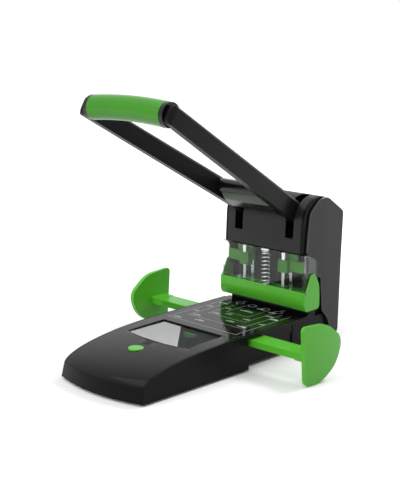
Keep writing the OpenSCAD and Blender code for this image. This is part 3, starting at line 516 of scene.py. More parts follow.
# The table's print, in millimetres: sheet outlines as half width and distance of the near edge from the paper
# stop, and labels as middle X, distance from the stop, half width and half depth of their first bar.
SHEET_OUTLINES = ((70, 156), (54, 128), (38, 100), (22, 76))
LABELS = ((-58, 149, 7, 0.9), (-44, 121, 8, 0.9), (-28, 94, 7, 0.9), (0, 54, 13, 1.0), (-32, 62, 6, 0.8),
          (61, 60, 8, 1.8), (50, 121, 9, 1.0), (30, 88, 7, 0.9), (18, 112, 8, 0.9), (-10, 84, 6, 0.8),
          (64, 92, 5, 0.8), (-62, 72, 6, 0.9), (-58, 44, 9, 1.0), (46, 52, 8, 1.0), (-20, 140, 9, 0.9),
          (8, 30, 7, 1.1), (34, 33, 7, 1.1), (-62, 104, 5, 0.8))
RULING_HALF = 0.3
INK_DEPTH = 0.1 * MM  # print shows on faces that lie no deeper than this under the top
OUTLINE_END = 30
LABEL_STEP = (2, 3.2)
SECOND_BAR = 0.6


def table_rulings(back: float) -> tuple[tuple[float, ...], ...]:
    """Lays out the generic rulings of the table.

    Args:
        back: the paper stop's Y, from which they are measured.

    Returns:
        Rectangles for the Printed finish: nested sheet outlines, open at the stop, and labels of two bars.
    """
    half, end = RULING_HALF * MM, back - OUTLINE_END * MM
    boxes: list[tuple[float, ...]] = []
    for reach, near in SHEET_OUTLINES:
        reach, near = reach * MM, back - near * MM
        boxes.append((0.0, near, reach, half, 0.0))
        for side in SIDES.values():
            boxes.append((side * reach, (near + end) / 2, half, (end - near) / 2, 0.0))
    for x, near, reach, deep in LABELS:
        boxes.append((x * MM, back - near * MM, reach * MM, deep * MM, 0.0))
        boxes.append(((x + LABEL_STEP[0]) * MM, back - (near - LABEL_STEP[1]) * MM,
                      SECOND_BAR * reach * MM, SECOND_BAR * deep * MM, 0.0))
    return tuple(boxes)


def top_of(node: str) -> float:
    """Returns the highest Z of a CAD node."""
    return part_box(node)[1][2]


FINISHES = {
    Slot.BLACK_BODY: Plastic("black_body", (0.0040, 0.0040, 0.0042), 0.30, depth=0.06, specular=0.10),
    Slot.BLACK_GLOSS: Plastic("black_gloss", (0.004, 0.004, 0.004), 0.08, 900.0, 0.01, 0.05, 0.08, 0.0, 0.34),
    Slot.GREEN: Plastic("green_body", (0.090, 0.45, 0.028), 0.26, 2200.0, 0.04, 0.08, 0.06, specular=0.34),
    Slot.CLEAR: ClearPlastic("clear", (0.93, 0.95, 0.95), ior=1.32),
    Slot.CARD: Plastic("card", (0.02, 0.05, 0.02), 0.55, 3000.0, 0.02),
    Slot.RUBBER: Plastic("rubber", (0.018, 0.018, 0.018), 0.75, 1600.0, 0.25),
    Slot.CHROME: Metal("chrome", (0.78, 0.79, 0.80), 0.10, 0.06, 0.01),
    Slot.STEEL: Metal("steel", (0.52, 0.53, 0.55), 0.28),
    Slot.BLACK_STEEL: Plastic("black_steel", (0.012, 0.012, 0.013), 0.50, 1400.0, 0.18, specular=0.25),
    Slot.ACETAL: Plastic("white_plastic", (0.62, 0.61, 0.57), 0.45, 1800.0, 0.04),
    Slot.BRONZE: Metal("brass", (0.56, 0.38, 0.17), 0.35, 0.15),
}

# Finishes that one piece has to itself, beside those of the slots.
SATIN = Plastic("satin_black", (0.0135, 0.0135, 0.0137), 0.40, 2400.0, 0.12, specular=0.26)
ARM = Plastic("arm_black", (0.0060, 0.0060, 0.0062), 0.34, 2400.0, 0.10, specular=0.11)
# A darker black; on the front cover's edges beside the panels it is painted shade.
DARK = Plastic("deep_black", (0.0035, 0.0035, 0.0036), 0.40, 2400.0, 0.06, specular=0.10)
CARRIER_GREEN = Plastic("carrier_green", (0.055, 0.24, 0.015), 0.34, 2200.0, 0.05, specular=0.20)
GRIP_GREEN = Plastic("grip_green", (0.045, 0.27, 0.010), 0.20, 2200.0, 0.02, 0.06, 0.06, 0.12, 0.20)
BRIDGE = Plastic("bridge_black", (0.0040, 0.0040, 0.0041), 0.18, 900.0, 0.01, 0.05, 0.08, specular=0.45)
# Painted highlight: a lighter, shinier black for rounded edges, in place of the light they catch.
RIM_HIGHLIGHT = Plastic("rim_painted_highlight", (0.034, 0.034, 0.034), 0.24, 2400.0, 0.02, specular=0.90)
# IOR near 1: the window mirrors almost nothing, and its reflection is painted on the card under it.
WINDOW = ClearPlastic("window_clear", (0.97, 0.98, 0.98), ior=1.02)


# ------------------------ modelling tools


def deselect() -> None:
    """Leaves nothing selected."""
    if bpy.context.object and bpy.context.object.mode != "OBJECT":
        bpy.ops.object.mode_set(mode="OBJECT")
    bpy.ops.object.select_all(action="DESELECT")


def pick(piece: Object) -> None:
    """Selects one piece alone and makes it active.

    Args:
        piece: the piece.
    """
    deselect()
    piece.select_set(True)
    bpy.context.view_layer.objects.active = piece


@contextmanager
def editing(piece: Object, everything: bool = True) -> Iterator[None]:
    """Opens a piece in edit mode for the length of a with block.

    Args:
        piece: the piece.
        everything: whether the whole mesh is selected first.

    Returns:
        A context manager that gives no value.
    """
    pick(piece)
    bpy.ops.object.mode_set(mode="EDIT")
    if everything:
        bpy.ops.mesh.select_all(action="SELECT")
    yield
    bpy.ops.object.mode_set(mode="OBJECT")


def select(piece: Object, wanted: Callable[[Vector], bool]) -> None:
    """Selects the vertices that a test picks, with the edges between them, and nothing else.

    Args:
        piece: the piece, in object mode.
        wanted: the test on a vertex's place.
    """
    mesh = piece.data
    for face in mesh.polygons:
        face.select = False
    for vertex in mesh.vertices:
        vertex.select = wanted(vertex.co)
    for edge in mesh.edges:
        edge.select = all(mesh.vertices[number].select for number in edge.vertices)


def apply_modifier(piece: Object, kind: str, **values: object) -> None:
    """Adds a modifier and applies it.

    Args:
        piece: the piece that gets it.
        kind: Blender's type of modifier.
        values: its settings.
    """
    pick(piece)
    modifier = piece.modifiers.new(kind.lower(), kind)
    for key, value in values.items():
        setattr(modifier, key, value)
    bpy.ops.object.modifier_apply(modifier=modifier.name)


def soften(piece: Object, width: float, segments: int = 3, angle: float = 32.0) -> None:
    """Rounds the sharp edges of a piece and smooths its shading.

    Args:
        piece: the piece.
        width: width of the rounding.
        segments: steps in the rounding.
        angle: least angle in degrees that counts as an edge.
    """
    apply_modifier(piece, "BEVEL", width=width, segments=segments, limit_method="ANGLE",
                   angle_limit=radians(angle), use_clamp_overlap=True, harden_normals=False)
    smooth(piece)


def smooth(piece: Object, angle: float = 34.0) -> None:
    """Shades a piece smooth but for its sharp edges, and keeps its broad faces flat.

    Args:
        piece: the piece.
        angle: least angle in degrees that counts as a sharp edge.
    """
    pick(piece)
    bpy.ops.object.shade_smooth_by_angle(angle=radians(angle))
    apply_modifier(piece, "WEIGHTED_NORMAL", mode="FACE_AREA", weight=90, keep_sharp=True)


def copy_of(node: str) -> Object:
    """Starts a finer piece from a merged copy of a CAD node's mesh.

    Args:
        node: the CAD node.

    Returns:
        The new piece, at the origin.
    """
    mesh = frame["nodes"][node].data.copy()
    mesh.name = node + "_shape"
    piece = bpy.data.objects.new(mesh.name, mesh)
    bpy.context.scene.collection.objects.link(piece)
    pick(piece)
    mesh.materials.clear()
    if mesh.has_custom_normals:
        bpy.ops.mesh.customdata_custom_splitnormals_clear()
    with editing(piece):
        bpy.ops.mesh.remove_doubles(threshold=2e-6)
        bpy.ops.mesh.dissolve_limited(angle_limit=radians(FLAT))
        bpy.ops.mesh.normals_make_consistent(inside=False)
    return piece


def score(piece: Object, at: float, axis: int) -> None:
    """Cuts an edge line into the whole mesh where a plane square to an axis meets it.

    Args:
        piece: the piece.
        at: the plane's place on the axis.
        axis: 0 for X and 1 for Y.
    """
    place, square = [0.0, 0.0, 0.0], [0.0, 0.0, 0.0]
    place[axis], square[axis] = at, 1.0
    with editing(piece):
        bpy.ops.mesh.bisect(plane_co=place, plane_no=square)


def repaint(piece: Object, finish: Material,
            wanted: Callable[[MeshPolygon], bool]) -> None:
    """Gives a second finish to the faces of a finished piece that a test picks.

    Args:
        piece: the piece, with its own finish in place.
        finish: the second finish.
        wanted: the test on each face.
    """
    piece.data.materials.append(finish)
    for face in piece.data.polygons:
        face.material_index = 1 if wanted(face) else 0


def settle(piece: Object) -> None:
    """Moves a piece's place, turn and scale into its mesh."""
    pick(piece)
    bpy.ops.object.transform_apply(location=True, rotation=True, scale=True)


@dataclass(frozen=True)
class Coil:
    """Compression spring with a closed turn at each end, wound from round wire.

    Attributes:
        name: the piece's name.
        middle: X and Y of its axis.
        low: height of its foot.
        high: height of its top.
        outer: outside diameter.
        wire: diameter of the wire.
        turns: working turns between the closed ones.
        sides: sides of the wire.
        steps: rings of each turn.
        closed: rise of a closed turn, as a share of the wire.
    """

    name: str
    middle: tuple[float, float]
    low: float
    high: float
    outer: float
    wire: float
    turns: int
    sides: int = 12
    steps: int = 40
    closed: float = 1.02

    @classmethod
    def stand_in(cls, name: str, node: str, wire: float, turns: int, slot: Slot, joint: str,
                 keep: float) -> None:
        """Winds a spring in a CAD node's place.

        Args:
            name: the spring's name.
            node: the CAD node that it stands for.
            wire: diameter of the wire.
            turns: working turns.
            slot: its finish.
            joint: not used.
            keep: not used.
        """
        low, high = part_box(node)
        middle = ((low[0] + high[0]) / 2, (low[1] + high[1]) / 2)
        spring = cls(name, middle, low[2], high[2], high[0] - low[0], wire, turns).wind()
        Piece.finish(spring, "base", slot, node)
        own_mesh(spring)

    def wind(self) -> Object:
        """Winds the spring.

        Returns:
            The closed mesh.
        """
        deselect()
        radius = (self.outer - self.wire) / 2
        bpy.ops.mesh.primitive_circle_add(vertices=self.sides, radius=self.wire / 2, fill_type="NOTHING",
                                          location=(radius, 0.0, 0.0), rotation=(pi / 2, 0.0, 0.0))
        piece = bpy.context.object
        piece.name = self.name
        settle(piece)
        ring = [vertex.co.z for vertex in piece.data.vertices]
        all_turns = self.turns + 2
        apply_modifier(piece, "SCREW", axis="Z", angle=2 * pi, iterations=all_turns, steps=self.steps,
                       render_steps=self.steps, screw_offset=1.0, use_merge_vertices=False)
        for vertex in piece.data.vertices:
            step, place = divmod(vertex.index, self.sides)
            vertex.co.z = self.rise(step / self.steps) + ring[place]
            vertex.co.x += self.middle[0]
            vertex.co.y += self.middle[1]
        with editing(piece):
            bpy.ops.mesh.fill_holes(sides=self.sides)
            bpy.ops.mesh.select_all(action="SELECT")
            bpy.ops.mesh.normals_make_consistent(inside=False)
        smooth(piece, 50.0)
        return piece

    def rise(self, turn: float) -> float:
        """Works out how high the wire is, which rises little in the closed turns and evenly between them.

        Args:
            turn: number of turns from its foot.

        Returns:
            The height of its middle.
        """
        foot = self.low + self.wire / 2
        lift = self.wire * self.closed
        pitch = (self.high - self.low - self.wire - 2 * lift) / self.turns
        if turn < 1:
            return foot + lift * turn
        if turn > self.turns + 1:
            return self.high - self.wire / 2 - lift * (self.turns + 2 - turn)
        return foot + lift + pitch * (turn - 1)


class Piece:
    """Finishing steps that every visible piece goes through."""

    @staticmethod
    def finish(piece: Object, body: str, slot: Slot, *nodes: str,
               material: Material | None = None) -> Object:
        """Dresses a piece and ties it to the frame.

        Args:
            piece: the finished mesh.
            body: the CAD body that it moves with.
            slot: the record's slot that gives its finish.
            nodes: CAD nodes that it stands for.
            material: a finish of its own, in place of the slot's.

        Returns:
            The same piece.
        """
        settle(piece)
        piece.data.materials.clear()
        piece.data.materials.append(material or Dresser.material(slot))
        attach(piece, body)
        if nodes:
            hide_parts(*nodes)
        log.info("%s: %d faces on %s", piece.name, len(piece.data.polygons), body)
        return piece


class Dresser:
    """Gives every carried CAD node the finish of its slot."""

    made: dict[str, Material] = {}

    @classmethod
    def own(cls, finish: Plastic | Metal | ClearPlastic) -> Material:
        """Returns a finish's material, built the first time."""
        return cls.made.get(finish.name) or cls.made.setdefault(finish.name, finish.make())

    @classmethod
    def material(cls, slot: Slot) -> Material:
        """Returns the material of a slot."""
        return cls.own(FINISHES[slot])

    @classmethod
    def dress_nodes(cls) -> None:
        """Puts the slots' materials on the CAD nodes."""
        for entry in frame["record"]["subparts"]:
            node = frame["nodes"][entry["node"]]
            for place in node.material_slots:
                place.material = cls.material(Slot(entry["material_slot"]))


# ------------------------ sub-assemblies


@dataclass(frozen=True)
class Softened:
    """A CAD node whose shape is right and whose edges get a rounding.

    Attributes:
        node: the CAD node.
        body: the body that it rides on.
        slot: its finish.
        width: rounding of its edges in millimetres.
        segments: steps in the rounding.
    """

    node: str
    body: str
    slot: Slot
    width: float = 0.4
    segments: int = 3

    def build(self, material: Material | None = None) -> Object:
        """Builds the piece.

        Args:
            material: a finish of its own, in place of the slot's.

        Returns:
            The finished piece.
        """
        piece = copy_of(self.node)
        soften(piece, self.width * MM, self.segments)
        return Piece.finish(piece, self.body, self.slot, self.node, material=material)


@dataclass
class Base:
    """Front block, top cover, window, button, tray and chassis.

    Attributes, in millimetres:
        cover_round: rounding of the cover's edges.
        rim_low: least height of the shell's edge that gets the painted highlight.
        rim_slope: limits of that edge's slope to the side, to the front and up.
        ring_row: the printed rings' middle X, their distance from the paper stop and their radius.
        scoop: radius of the finger recess.
        scoop_back: how far behind the window's front edge its middle lies.
        scoop_sink: least depth of its faces under the window's top.
        painted_reflection: the pale half painted on the card as the window's reflection of the white
            surround, as middle X, half width and lean.
        marks: the card's marks, as middle X, distance behind its middle, half width and half depth.
        button_wire: wire of the button's spring.
        button_turns: its number of turns.
        button_keep: share of its height that is left when it is pressed.
        parts: pieces that only get round edges.
    """

    cover_round: float = 0.5
    rim_low: float = 9.0
    rim_slope: tuple[float, float, float] = (0.2, 0.3, 0.25)
    ring_row: tuple[tuple[float, ...], float, float] = ((-40, -14, 14, 40), 24, 6.5)
    scoop: float = 15.6
    scoop_back: float = 1.0
    scoop_sink: float = 0.3
    painted_reflection: tuple[float, float, float] = (-68.5, 80, -0.894)
    marks: tuple[tuple[float, ...], ...] = ((12, 22, 13, 2.4), (18, 15, 9, 1.4), (20, 9, 6, 1.2))
    button_wire: float = 1.4
    button_turns: int = 3
    button_keep: float = 0.80
    parts: tuple[Softened, ...] = (
        Softened("base_shell", "base", Slot.BLACK_BODY, 0.8, 4),
        Softened("tray_button", "button", Slot.GREEN, 0.9, 4),
        Softened("chip_tray", "tray", Slot.BLACK_BODY, 0.6),
        Softened("chassis", "base", Slot.BLACK_BODY, 0.6),
        Softened("back_stop", "base", Slot.BLACK_BODY, 0.5),
        Softened("die_plate", "base", Slot.STEEL, 0.3),
        Softened("die_bushes", "base", Slot.STEEL, 0.2),
        Softened("rubber_feet", "base", Slot.RUBBER, 0.6),
        Softened("base_plate", "base", Slot.BLACK_STEEL, 0.4),
        Softened("base_screws", "base", Slot.STEEL, 0.2),
        Softened("guide_carrier", "base", Slot.BLACK_BODY, 0.3, 2),
    )

    def build(self) -> None:
        """Builds the base."""
        for part in self.parts:
            piece = part.build()
            if part.node == "base_shell":
                self.rim(piece)
        self.cover()
        self.window()
        Coil.stand_in("button_coil", "button_spring", self.button_wire * MM, self.button_turns, Slot.STEEL,
                      "button_press", self.button_keep)

    def rim(self, shell: Object) -> None:
        """Paints a highlight on the finished shell's rounded edge beside the cover, with a lighter and
        shinier black.

        Args:
            shell: the finished shell.
        """
        side, front, up = self.rim_slope
        # painted highlight on the shell's top edges
        repaint(shell, Dresser.own(RIM_HIGHLIGHT), lambda face: abs(face.normal.x) > side and face.normal.y > -front
                and face.normal.z > up and face.center.z > self.rim_low * MM)

    def cover(self) -> None:
        """Builds the glossy cover, with its printed table and its dark finger recess before the window."""
        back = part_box("back_stop")[0][1]
        places, away, radius = self.ring_row
        rings = tuple((x * MM, back - away * MM, radius * MM) for x in places)
        inks = (((0.60, 0.61, 0.60), table_rulings(back)),)
        table = Printed("printed_table", (0.0045, 0.0045, 0.0045), inks, top_of("top_cover") - INK_DEPTH,
                        roughness=0.10, specular=0.17, rings=rings)
        piece = Softened("top_cover", "base", Slot.BLACK_GLOSS, self.cover_round).build(table.make())
        low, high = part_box("window_lens")
        middle = Vector((0.0, low[1] + self.scoop_back * MM))
        repaint(piece, Dresser.own(DARK), lambda face: (face.center.xy - middle).length < self.scoop * MM
                and face.center.z < high[2] - self.scoop_sink * MM)

    def window(self) -> None:
        """Builds the window, which mirrors almost nothing, and the card under it, whose pale half is a
        painted reflection of the white surround.
        """
        low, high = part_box("format_card")
        middle, half = (low[1] + high[1]) / 2, (high[1] - low[1]) / 2
        # painted reflection: the window's pale reflection of the white surround, painted on part of the card
        pale = (self.painted_reflection[0] * MM, middle, self.painted_reflection[1] * MM, half + 1 * MM, self.painted_reflection[2])
        marks = tuple((x * MM, middle + y * MM, wide * MM, deep * MM, 0.0) for x, y, wide, deep in self.marks)
        card = Printed("card_print_and_painted_reflection", (0.006, 0.008, 0.006),
                       (((0.46, 0.46, 0.46), (pale,)), ((0.05, 0.18, 0.04), marks)),
                       top_of("format_card") - INK_DEPTH, roughness=0.55, specular=0.10, wear=0.1)
        Softened("format_card", "base", Slot.CARD, 0.1, 1).build(card.make())
        Softened("window_lens", "base", Slot.CLEAR, 0.3, 2).build(Dresser.own(WINDOW))


@dataclass
class PaperGuide:
    """Toothed bars, paddles and pinion."""

    def build(self) -> None:
        """Builds both guides."""
        for side in SIDES:
            body = "guide_" + side
            Softened("guide_bar_" + side, body, Slot.GREEN, 0.25, 2).build()
            Softened("guide_paddle_" + side, body, Slot.GREEN, 1.6, 5).build()
        Softened("pinion", "pinion", Slot.ACETAL, 0.15, 2).build()


@dataclass
class Head:
    """Green head, shield and what shows behind it.

    Attributes, in millimetres:
        wire: wire of the return spring.
        turns: its number of turns.
        spring_keep: share of its height that is left at the end of the stroke.
        shield_inset: gap between the shield and each ear.
        return_width: width of the strip at the chamber wall's ends that turns forward.
        return_reach: how far it reaches forward.
        return_inset: how far it lies inside the wall's end.
        tail_gap: how far behind the punches the carriers' dark tails start.
        tail_half: how far from the middle they end.
        parts: pieces that only get round edges.
    """

    wire: float = 2.5
    turns: int = 8
    spring_keep: float = 0.7045
    shield_inset: float = 0.35
    return_width: float = 1.6
    return_reach: float = 12.0
    return_inset: float = 0.3
    tail_gap: float = 4.2
    tail_half: float = 62.5
    parts: tuple[Softened, ...] = (
        Softened("head_body", "base", Slot.GREEN, 1.8, 5),
        Softened("guide_columns", "base", Slot.CHROME, 0.4),
        Softened("head_screws", "base", Slot.CHROME, 0.3),
        Softened("spring_seat", "press", Slot.CHROME, 0.4),
        Softened("press_beam", "press", Slot.STEEL, 0.5),
        Softened("beam_bushes", "press", Slot.BRONZE, 0.3),
    )

    def wall(self) -> None:
        """Builds the wall behind the mechanism, with its returns brought forward to the carriers."""
        piece = copy_of("chamber_wall")
        low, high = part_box("chamber_wall")
        for sign in SIDES.values():
            score(piece, sign * (high[0] - self.return_width * MM), 0)
        for vertex in piece.data.vertices:
            if abs(vertex.co.x) > high[0] - TOUCH and vertex.co.y < low[1] + TOUCH:
                vertex.co.y = low[1] - self.return_reach * MM
                vertex.co.x *= 1 - self.return_inset * MM / high[0]
        soften(piece, 0.3 * MM)
        Piece.finish(piece, "base", Slot.BLACK_BODY, "chamber_wall", material=Dresser.own(DARK))

    def build(self) -> None:
        """Builds the head and the press."""
        for part in self.parts:
            part.build()
        self.wall()
        Softened("stripper_plate", "base", Slot.STEEL, 0.2).build(Dresser.material(Slot.BLACK_STEEL))
        for side in SIDES:
            self.carrier("punch_carrier_" + side)
            Softened("punch_pin_" + side, "press", Slot.CHROME, 0.3).build()
        self.shield()
        Coil.stand_in("return_coil", "return_spring", self.wire * MM, self.turns, Slot.CHROME, "press_slide",
                      self.spring_keep)

    def carrier(self, node: str) -> None:
        """Builds a punch carrier: a green block whose tail behind the punch is dark steel.

        Args:
            node: the CAD node.
        """
        piece = copy_of(node)
        soften(piece, 0.8 * MM, 4)
        Piece.finish(piece, "press", Slot.GREEN, node, material=Dresser.own(CARRIER_GREEN))
        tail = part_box("punch_pin_right")[1][1] + self.tail_gap * MM
        repaint(piece, Dresser.material(Slot.BLACK_STEEL),
                lambda face: face.center.y > tail and abs(face.center.x) < self.tail_half * MM)

    def shield(self) -> None:
        """Builds the clear shield, drawn in a little from the ears that hold it."""
        piece = copy_of("clear_shield")
        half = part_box("clear_shield")[1][0]
        with editing(piece):
            bpy.ops.transform.resize(value=(1 - self.shield_inset * MM / half, 1.0, 1.0),
                                     center_override=(0.0, 0.0, 0.0))
        soften(piece, 0.5 * MM)
        Piece.finish(piece, "base", Slot.CLEAR, "clear_shield")


@dataclass
class Tower:
    """Covers, panels and steel plates.

    Attributes, in millimetres but for the last:
        panel_bevel: width of the bevel round a panel.
        panel_layer: depth of the stepped layer that the bevel takes the place of.
        layer_gap: how far under that layer the panel is cut.
        crease: Y of the panels' upright crease.
        fold: how far the back of a panel turns in behind it.
        painted_shade_width: width of the strip of painted shade, a darker black, on each side of the front
            cover.
        bevel_faces: least and greatest X of the normal on the bevel that gets the painted highlight.
    """

    panel_bevel: float = 2.8
    panel_layer: float = 1.2
    layer_gap: float = 0.05
    crease: float = 181.0
    fold: float = 0.9
    painted_shade_width: float = 4.5
    bevel_faces: tuple[float, float] = (0.3, 0.97)

    def build(self) -> None:
        """Builds the tower."""
        satin, dark = Dresser.own(SATIN), Dresser.own(DARK)
        self.front()
        for node, body in (("tie_rods", "base"), ("handle_stop", "base"), ("lever_hub", "handle")):
            Softened(node, body, Slot.BLACK_STEEL, 0.25).build(dark)
        Softened("rear_cover", "base", Slot.BLACK_BODY, 0.8).build(satin)
        for side, sign in SIDES.items():
            self.panel("side_panel_" + side, sign)
            Softened("side_plate_" + side, "base", Slot.BLACK_STEEL, 0.3).build()

    def front(self) -> None:
        """Builds the front cover, with painted shade, a darker black, where it turns in beside the panels."""
        piece = copy_of("front_cover")
        soften(piece, 0.8 * MM, 4)
        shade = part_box("front_cover")[1][0] - self.painted_shade_width * MM
        for sign in SIDES.values():
            score(piece, sign * shade, 0)
        Piece.finish(piece, "base", Slot.BLACK_BODY, "front_cover", material=Dresser.own(SATIN))
        # painted shade: the strips where the cover turns in beside the panels get the darker black
        repaint(piece, Dresser.own(DARK), lambda face: abs(face.center.x) > shade)

    def panel(self, node: str, sign: int) -> None:
        """Builds one side panel, with one smooth bevel round its outer face, which gets a painted highlight.

        Args:
            node: the CAD node.
            sign: 1 on the right and -1 on the left.
        """
        piece = copy_of(node)
        low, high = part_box(node)
        inner = low[0] if sign > 0 else high[0]
        outer = high[0] if sign > 0 else low[0]
        cut = outer - sign * (self.panel_layer + self.layer_gap) * MM
        with editing(piece):
            bpy.ops.mesh.bisect(plane_co=(cut, 0.0, 0.0), plane_no=(sign, 0.0, 0.0), use_fill=True,
                                clear_outer=True)
        select(piece, lambda place: abs(place.x - cut) < TOUCH)
        with editing(piece, everything=False):
            bpy.ops.transform.translate(value=(outer - cut, 0.0, 0.0))
            bpy.ops.mesh.select_all(action="SELECT")
            bpy.ops.mesh.dissolve_limited(angle_limit=radians(FLAT))
        select(piece, lambda place: abs(place.x - outer) < TOUCH)
        with editing(piece, everything=False):
            bpy.ops.mesh.region_to_loop()
            bpy.ops.mesh.bevel(offset=self.panel_bevel * MM, segments=4, affect="EDGES", clamp_overlap=True)
        score(piece, self.crease * MM, 1)
        reach = high[1] - self.crease * MM
        for vertex in piece.data.vertices:
            past = (vertex.co.y - self.crease * MM) / reach
            if past > 0 and abs(vertex.co.x) > abs(inner) + self.panel_layer * MM:
                vertex.co.x -= sign * self.fold * MM * past
        smooth(piece, 25.0)
        Piece.finish(piece, "base", Slot.BLACK_BODY, node, material=Dresser.own(SATIN))
        # painted highlight: the bevel round the outer face gets the lighter, shinier black
        least, most = self.bevel_faces
        repaint(piece, Dresser.own(RIM_HIGHLIGHT), lambda face: least < abs(face.normal.x) < most
                and abs(face.center.x) > abs(outer) - self.panel_bevel * MM)


@dataclass
class Handle:
    """Arms, cross-member and grip.

    Attributes:
        rise: angle of the raised arms above level, in degrees.
        seam_width: half width of the grip's parting line in millimetres.
        seam_depth: its depth.
        seam_find: how far behind the grip's foremost line the parting line's edges may lie.
        seam_sink: how far behind it its sunk middle may lie.
        arm_round: rounding of the arms' edges in millimetres.
        tip: how far the arms reach past the grip's middle, as a share of the CAD arms' reach.
    """

    rise: float = 30.5
    seam_width: float = 0.45
    seam_depth: float = 0.5
    seam_find: float = 0.02
    seam_sink: float = 0.012
    arm_round: float = 1.0
    tip: float = 0.62

    @property
    def front(self) -> Vector:
        """Gives the direction that the raised arms point in."""
        return Vector((0.0, -cos(radians(self.rise)), sin(radians(self.rise))))

    def build(self) -> None:
        """Builds the handle."""
        for side in SIDES:
            self.arm("handle_arm_" + side)
            Softened("grip_collar_" + side, "handle", Slot.BLACK_GLOSS, 0.7, 4).build()
            Softened("lever_" + side, "handle", Slot.BLACK_STEEL, 0.3).build(Dresser.own(DARK))
        self.bridge()
        Softened("grip_core", "handle", Slot.STEEL, 0.3).build()
        self.grip()

    def arm(self, node: str) -> None:
        """Builds an arm, whose end stays behind the grip's collar.

        Args:
            node: the CAD node.
        """
        piece = copy_of(node)
        soften(piece, self.arm_round * MM)
        low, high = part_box("grip_core")
        middle = (Vector(low) + Vector(high)).dot(self.front) / 2
        for vertex in piece.data.vertices:
            past = vertex.co.dot(self.front) - middle
            if past > 0:
                vertex.co -= self.front * past * (1 - self.tip)
        Piece.finish(piece, "handle", Slot.BLACK_BODY, node, material=Dresser.own(ARM))

    def bridge(self) -> None:
        """Builds the glossy cross-member, whose faces run softly into each other."""
        piece = copy_of("handle_bridge")
        soften(piece, 5.0 * MM, 6, 12.0)
        pick(piece)
        bpy.ops.object.shade_smooth_by_angle(angle=radians(60.0))
        Piece.finish(piece, "handle", Slot.BLACK_GLOSS, "handle_bridge", material=Dresser.own(BRIDGE))

    def grip(self) -> None:
        """Builds the grip with the parting line of its two halves."""
        piece = copy_of("grip")
        front = self.front
        reach = max(vertex.co.dot(front) for vertex in piece.data.vertices)
        select(piece, lambda place: place.dot(front) > reach - self.seam_find * MM)
        with editing(piece, everything=False):
            bpy.ops.mesh.bevel(offset=self.seam_width * MM, segments=2, profile=0.5, affect="EDGES")
        for vertex in piece.data.vertices:
            if vertex.co.dot(front) > reach - self.seam_sink * MM:
                vertex.co -= front * self.seam_depth * MM
        smooth(piece, 30.0)
        Piece.finish(piece, "handle", Slot.GREEN, "grip", material=Dresser.own(GRIP_GREEN))


# ------------------------ studio


@dataclass(frozen=True)
class Lamp:
    """One soft rectangular light.

    Attributes:
        name: the lamp's name.
        at: its place in metres.
        aim: the point it faces.
        size: its width and height.
        power: its power in watts.
        mirrored: whether glossy surfaces show it.
    """

    name: str
    at: tuple[float, float, float]
    aim: tuple[float, float, float]
    size: tuple[float, float]
    power: float
    mirrored: bool = True

    def add(self) -> None:
        """Adds the light."""
        data = bpy.data.lights.new(self.name, "AREA")
        data.shape = "RECTANGLE"
        data.size, data.size_y = self.size
        data.energy = self.power
        lamp = bpy.data.objects.new(self.name, data)
        bpy.context.scene.collection.objects.link(lamp)
        lamp.location = self.at
        lamp.rotation_euler = (Vector(self.aim) - Vector(self.at)).to_track_quat("-Z", "Y").to_euler()
        lamp.visible_glossy = self.mirrored


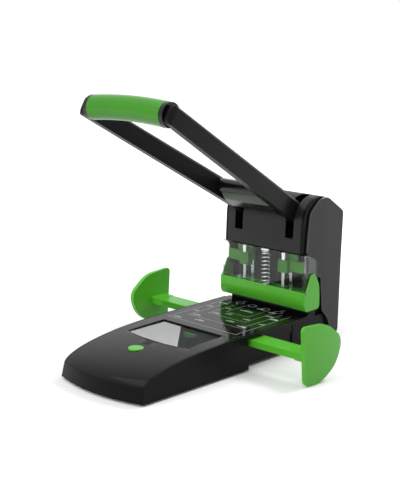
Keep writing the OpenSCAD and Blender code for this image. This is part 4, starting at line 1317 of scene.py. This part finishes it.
@dataclass
class Studio:
    """Floor, light and camera.

    Attributes:
        floor_size: width of the floor in metres.
        camera_at: the camera's place in metres.
        turn: the camera's angle round the object in degrees.
        tilt: the camera's angle above the horizon in degrees.
        lens: focal length for a frame 36 mm high.
        floor_lift: how much brighter the floor looks than its light makes it, near the object and far off.
        floor_reach: the distances from the middle where the first ends and the second starts.
        floor_tones: how pale the floor is to the light that falls on the object, and to the camera.
        surround: brightness of the white surround, in the same order.
        lamps: the lights.
    """

    floor_size: float = 12.0
    camera_at: tuple[float, float, float] = (1.1248, -1.17575, 0.5439)
    turn: float = 44.057
    tilt: float = 13.005
    lens: float = 80.68
    floor_lift: tuple[float, float] = (0.02, 0.45)
    floor_reach: tuple[float, float] = (0.35, 1.60)
    floor_tones: tuple[float, float] = (0.45, 0.95)
    surround: tuple[float, float] = (0.74, 1.0)
    lamps: tuple[Lamp, ...] = (
        Lamp("key", (-0.5, -0.6, 2.4), (0.0, 0.0, 0.15), (1.8, 1.8), 9.0),
        Lamp("back", (0.35, 1.5, 1.6), (0.0, 0.0, 0.2), (1.0, 0.6), 22.0),
        Lamp("stripe", (0.2, -2.0, 1.9), (0.0, -0.1, 0.3), (1.6, 0.14), 5.0),
        Lamp("fill", (-0.2, -2.4, 1.2), (0.0, 0.0, 0.15), (1.8, 1.4), 20.0, mirrored=False),
    )

    def build(self) -> None:
        """Builds the studio."""
        scene = bpy.context.scene
        scene.view_settings.view_transform = "Standard"
        self.floor()
        self.world()
        for lamp in self.lamps:
            lamp.add()
        self.camera()

    @staticmethod
    def seen(sheet: NodeSheet) -> NodeSocket:
        """Tells the rays that end in the camera from the rest.

        Args:
            sheet: where the nodes go.

        Returns:
            A socket that is 1 on camera rays, straight, mirrored or let through.
        """
        rays = sheet.add("ShaderNodeLightPath")
        seen = sheet.math("MAXIMUM", rays.outputs["Is Camera Ray"], rays.outputs["Is Glossy Ray"])
        return sheet.math("MAXIMUM", seen, rays.outputs["Is Transmission Ray"])

    def floor(self) -> None:
        """Adds the pale floor."""
        deselect()
        bpy.ops.mesh.primitive_plane_add(size=self.floor_size, location=(0.0, 0.0, 0.0))
        floor = bpy.context.object
        floor.name = "studio_floor"
        settle(floor)
        material, sheet, shader = new_material("studio_floor")
        seen = self.seen(sheet)
        tones = [(value, value, value, 1.0) for value in self.floor_tones]
        sheet.fill(shader, {"Base Color": sheet.mix(seen, *tones), "Roughness": 1.0,
                            "Specular IOR Level": 0.0, "Emission Color": (1.0, 1.0, 1.0, 1.0)})
        away = sheet.add("ShaderNodeVectorMath", operation="LENGTH")
        sheet.feed(away, 0, object_coordinates(sheet))
        lift = sheet.add("ShaderNodeMapRange", interpolation_type="SMOOTHSTEP")
        sheet.fill(lift, {"Value": away.outputs["Value"], "From Min": self.floor_reach[0],
                          "From Max": self.floor_reach[1], "To Min": self.floor_lift[0],
                          "To Max": self.floor_lift[1]})
        sheet.feed(shader, "Emission Strength", sheet.math("MULTIPLY", seen, lift.outputs[0]))
        floor.data.materials.append(material)

    def world(self) -> None:
        """Makes a white surround."""
        world = bpy.data.worlds.new("studio")
        world.use_nodes = True
        bpy.context.scene.world = world
        sheet = NodeSheet(world.node_tree)
        ground = world.node_tree.nodes["Background"]
        seen = self.seen(sheet)
        strength = sheet.add("ShaderNodeMapRange")
        sheet.fill(strength, {"Value": seen, "To Min": self.surround[0], "To Max": self.surround[1]})
        sheet.fill(ground, {"Color": (1.0, 1.0, 1.0, 1.0), "Strength": strength.outputs[0]})

    def camera(self) -> None:
        """Adds the camera of the photograph."""
        data = bpy.data.cameras.new("camera")
        data.sensor_fit = "VERTICAL"
        data.sensor_height = 36.0
        data.lens = self.lens
        camera = bpy.data.objects.new("camera", data)
        bpy.context.scene.collection.objects.link(camera)
        camera.location = self.camera_at
        camera.rotation_euler = (radians(90.0 - self.tilt), 0.0, radians(self.turn))
        bpy.context.scene.camera = camera


def main() -> None:
    """Builds the dressed hole punch and its studio."""
    Dresser.dress_nodes()
    for assembly in (Base(), PaperGuide(), Head(), Tower(), Handle(), Studio()):
        log.info("building %s", type(assembly).__name__)
        assembly.build()
    deselect()


if __name__ == "__main__":
    main()
